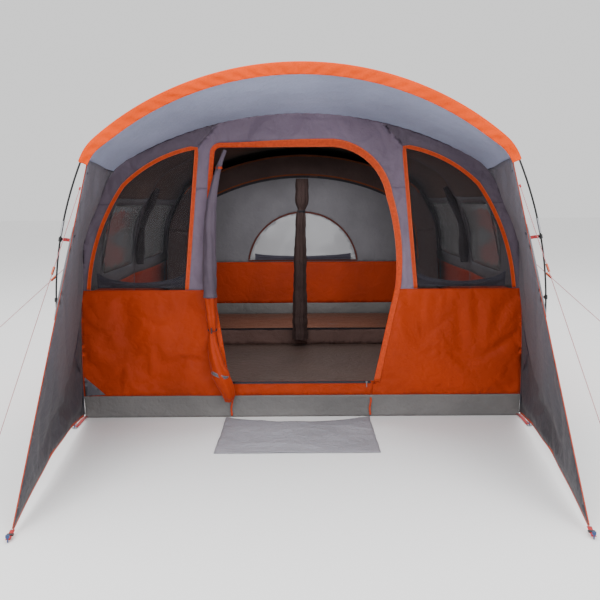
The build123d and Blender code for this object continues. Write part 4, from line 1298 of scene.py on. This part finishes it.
def wings():
    under = arc_through((FRONT - 0.001, 0.024), (FRONT - 0.95, 0.1), (WING_TIP.y, 0.026), 40)
    outline = under + [(wing_free(WING_HEAD).y, WING_HEAD), (FRONT - 0.001, CANOPY_EAVE - 0.004)]
    right = fill("wing_cloth_right", [outline], 0.026, wing_point, WING_GREY, 42)
    relax(right, grow=0.012, frames=24, cap=0.02, gravity=0.3, bending=0.5)
    for one, node in zip(both_sides(right), ("wing_right", "wing_left")):
        cloth_piece(one, TENT, (1.83, 1.69), [node], area=area_of(one))
    inward = Vector((-0.004, 0, 0))
    free = [wing_free(WING_HEAD - 0.01 - 1.66 * i / 60) + Vector((0.0012, -0.006, 0)) for i in range(61)]
    pieces = [ribbon("wing_free_tape_right", free, lambda i: (0.12, -1, -0.45), 0.018, TAPE, 0.0014)]
    low = [wing_point(y, z) + Vector((0.0012, 0, -0.002)) for y, z in under[1:]]
    pieces.append(ribbon("wing_hem_tape_right", low, lambda i: (0.05, 0, 1), 0.016, TAPE, 0.0014))
    # painted shadow: dark strips on the wing where the fly's scalloped edge behind it shows through
    for number, scallop in enumerate(SHADOW_SCALLOPS, 1):
        line = [wing_spot(z, share) + inward for z, share in rounded(scallop, 8)]
        pieces.append(ribbon(f"wing_seam_{number}_right", line, lambda i: (0, 1, 0), 0.02, SEAM_AND_SHADOW_NAVY, -0.002))
    edge = [wing_free(1.33 - 0.46 * i / 16) + Vector((0.002, -0.019, 0)) for i in range(17)]
    pieces.append(ribbon("wing_edge_flap_right", edge, lambda i: (0.1, -1, -0.2),
                         lambda i: 0.004 + 0.026 * math.sin(math.pi * i / 16) ** 0.5, WING_EDGE, 0.001))
    for one in pieces:
        for piece in both_sides(one):
            stands_for = ["wing_edge_tapes"] if "free_tape" in piece.name else []
            trim(piece, *stands_for, thickness=0.0012)


# ---------------------------------------------------------------- straps, mat and cords
def strap_piece(name, points, width, facing, material, replaces, both=True):
    """Webbing or tape along a run, facing one way, on the right side only or on both."""
    points = [Vector(p) for p in points]

    def across(i):
        run = points[min(i + 1, len(points) - 1)] - points[max(i - 1, 0)]
        return Vector(facing).cross(run)

    made = ribbon(f"{name}_right" if both else name, points, across, width, material, 0.0004)
    for piece in both_sides(made) if both else [made]:
        trim(piece, replaces, thickness=CLOTH, offset=1.0)


def straps():
    peg = Vector((1.268, FRONT - 1.895, 0.012))
    level = Vector((peg.x - WING_TIP.x, peg.y - WING_TIP.y, 0)).normalized()
    start, end = WING_TIP + level * 0.004, peg - level * 0.002
    middle = (start + end) / 2
    for name, a, b in (("upper", start, middle - level * 0.006), ("lower", middle + level * 0.006, end)):
        strap_piece(f"wing_strap_{name}", [a.lerp(b, k / 4) for k in range(5)], 0.022, (0, 0, 1),
                    RED_WEBBING, "webbing_straps")
    foot_x = ARCH.width(0)
    corner = [(FLOOR_HALF - 0.012, FRONT - 0.003, 0.014), (FLOOR_HALF, FRONT - 0.08, 0.006),
              (foot_x, ARCH_FOOT_Y + 0.02, 0.004), (foot_x, ARCH_FOOT_Y - 0.024, 0.003)]
    strap_piece("corner_strap", corner, 0.025, (0, 0, 1), RED_WEBBING, "webbing_straps")
    rise = math.cos(TILT)
    for number, height in enumerate(CLIP_HEIGHTS, 1):
        here = arch_point(ARCH.width(height / rise), height / rise)
        y, z = here.y + 0.003, height + 0.009
        reach = (here.x - 0.014 - wing_point(y, z).x) / 8
        tab = [(here.x - 0.014 - reach * k, y + 0.0007 * k, z - 0.0003 * k * k) for k in range(9)]
        strap_piece(f"clip_tab_{number}", tab, 0.02, (0, -1, 0), RED_WEBBING, "webbing_straps")


def doormat():
    near, far, dip, left, right = 0.76, 0.024, 0.13, -0.515, 0.46
    curve = arc_through((left, -far), (0, -dip), (right, -far), 60)

    def point(u, v):
        x = left + (right - left) * u
        top = curve[round(u * 60)][1]
        y = top + (-near - top) * v
        rise = 0.0022 + 0.010 * max(0.0, crease((x * 0.7, y * 1.6, 0), 0.26, 51.0) - 0.55)
        rise += 0.006 * max(0.0, wander((x, y, 0), 0.18, 52.0))
        corner = max(0.0, 1 - math.hypot(min(x - left, right - x), y + far) / 0.10)
        wobble = 0.007 * wander((x, y, 3), 0.14, 53.0)
        return Vector((x + wobble, FRONT + y + wobble * 0.6, rise * (1 - 0.5 * corner) + 0.004 * corner))

    mat = grid("doormat_cloth", point, 60, 46, MAT_GREY, (0.975, 0.72))
    cloth_piece(mat, "doormat", (0.975, 0.736), ["doormat"], area=area_of(mat))
    for name, top_x, low_x in (("left", -0.478, -0.482), ("right", 0.468, 0.462)):
        line = [(top_x + (low_x - top_x) * k / 8 + 0.003 * math.sin(k),
                 FRONT - 0.002 - 0.012 * (k / 8) ** 1.5, 0.132 - 0.12 * k / 8) for k in range(9)]
        strap_piece(f"mat_tie_{name}", line, 0.012, (0, -1, 0), TAPE, "mat_ties", both=False)


CORNER_GUY = (Vector((1.229, FRONT - 0.742, 1.545)), Vector((1.64, FRONT - 1.255, 0.03)))
SIDE_GUY = (Vector((1.499, FRONT + 0.02, 1.1)), Vector((2.5, FRONT - 1.003, 0.03)))
KNOT = 0.016


def guylines():
    for kind, (start, end) in {"corner": CORNER_GUY, "side": SIDE_GUY}.items():
        run = (end - start).normalized()
        for side, word in ((1, "right"), (-1, "left")):
            flip = Vector((side, 1, 1))
            a, b = (start + run * KNOT) * flip, (end - run * KNOT) * flip
            curve = bpy.data.curves.new(f"guyline_{kind}_{word}_cord", "CURVE")
            curve.dimensions = "3D"
            spline = curve.splines.new("NURBS")
            spline.points.add(3)
            for point, share in zip(spline.points, (0.0, 0.33, 0.67, 1.0)):
                point.co = (*a.lerp(b, share), 1.0)
            spline.order_u = 3
            spline.use_endpoint_u = True
            curve.bevel_depth = 0.002
            curve.bevel_resolution = 3
            curve.materials.append(GUY)
            cord = bpy.data.objects.new(curve.name, curve)
            bpy.context.scene.collection.objects.link(cord)
            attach(cord, TENT)
            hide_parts(f"guyline_{kind}_{word}")
            tuple(a)


# ---------------------------------------------------------------- the CAD pieces that stay
DRESSED = (("hoop_pole", POLE), ("front_arch_pole", POLE), ("pole_ferrules", FERRULE),
           ("pole_foot_pins", STEEL), ("pole_clips", CLIP), ("wing_strap_buckles", CLIP),
           ("corner_rings", STEEL), ("tent_pegs", PEG_BLUE), ("guy_pegs", PEG_BLUE),
           ("guy_loops", RED_WEBBING), ("guy_runner", RUNNER), ("door_toggle", TOGGLE),
           ("door_zip_slider", ZIP_METAL), ("door_zip_puller", ZIP_METAL))


def cad_materials():
    """Gives the CAD pieces that stay their materials, by the start of their names."""
    for node in NODES:
        for start, material in DRESSED:
            if node.startswith(start) and node in bpy.data.objects:
                for slot in bpy.data.objects[node].material_slots:
                    slot.material = material


# ---------------------------------------------------------------- camera, light and floor
def studio():
    camera = bpy.data.cameras.new("camera")
    camera.lens, camera.sensor_width = 44.7, 36.0
    camera.shift_x = -0.0075
    camera.clip_end = 100
    eye = bpy.data.objects.new("camera", camera)
    eye.location = (0.025, FRONT - 4.956, 1.45)
    eye.rotation_euler = (math.radians(90 - 7.42), math.radians(0.35), 0)
    bpy.context.scene.collection.objects.link(eye)
    bpy.context.scene.camera = eye

    floor = bpy.data.meshes.new("floor")
    floor.from_pydata([(-60, -60, 0), (60, -60, 0), (60, 60, 0), (-60, 60, 0)], [], [(0, 1, 2, 3)])
    stage = bpy.data.objects.new("studio_floor", floor)
    bpy.context.scene.collection.objects.link(stage)
    floor.materials.append(Nodes("studio_floor").finish(paint(0.93, 0.93, 0.93), 0.9,
                                                        Specular_IOR_Level=0.1))

    for name, place, size, power, target in (
            ("key", (-3.5, -9.0, 6.5), 6.0, 400, (0, -2.4, 0.8)),
            ("fill", (5.0, -9.5, 4.5), 6.0, 280, (0, -2.4, 0.8)),
            ("top", (0, -1.0, 8.5), 9.0, 620, (0, 0, 0)),
            ("low", (0, -8.0, 0.9), 4.0, 50, (0, -2.4, 1.2)),
            ("glow_bedroom", (0, 0.7, 0.98), 1.8, 19, (0, 2.4, 0.95)),
            ("glow_floor", (0, 1.3, 1.75), 1.4, 10, (0, 1.4, 0.0)),
            ("glow_living", (0, -1.0, 1.78), 1.4, 16, (0, -0.9, 0))):
        light = bpy.data.lights.new(name, "AREA")
        light.shape, light.size, light.energy = "DISK", size, power
        lamp = bpy.data.objects.new(name, light)
        lamp.location = place
        lamp.rotation_euler = (Vector(target) - Vector(place)).to_track_quat("-Z", "Y").to_euler()
        lamp.visible_camera = False
        bpy.context.scene.collection.objects.link(lamp)

    world = bpy.data.worlds.new("studio")
    world.use_nodes = True
    world.node_tree.nodes["Background"].inputs[0].default_value = (1, 1, 1, 1)
    world.node_tree.nodes["Background"].inputs[1].default_value = 1.1
    bpy.context.scene.world = world


studio()
guylines()
fly()
sleeves()
groundsheet()
front_wall()
front_trims()
door_roll()
blinds()
rear_wall()
inner_tent()
canopy()
wings()
straps()
doormat()
cad_materials()
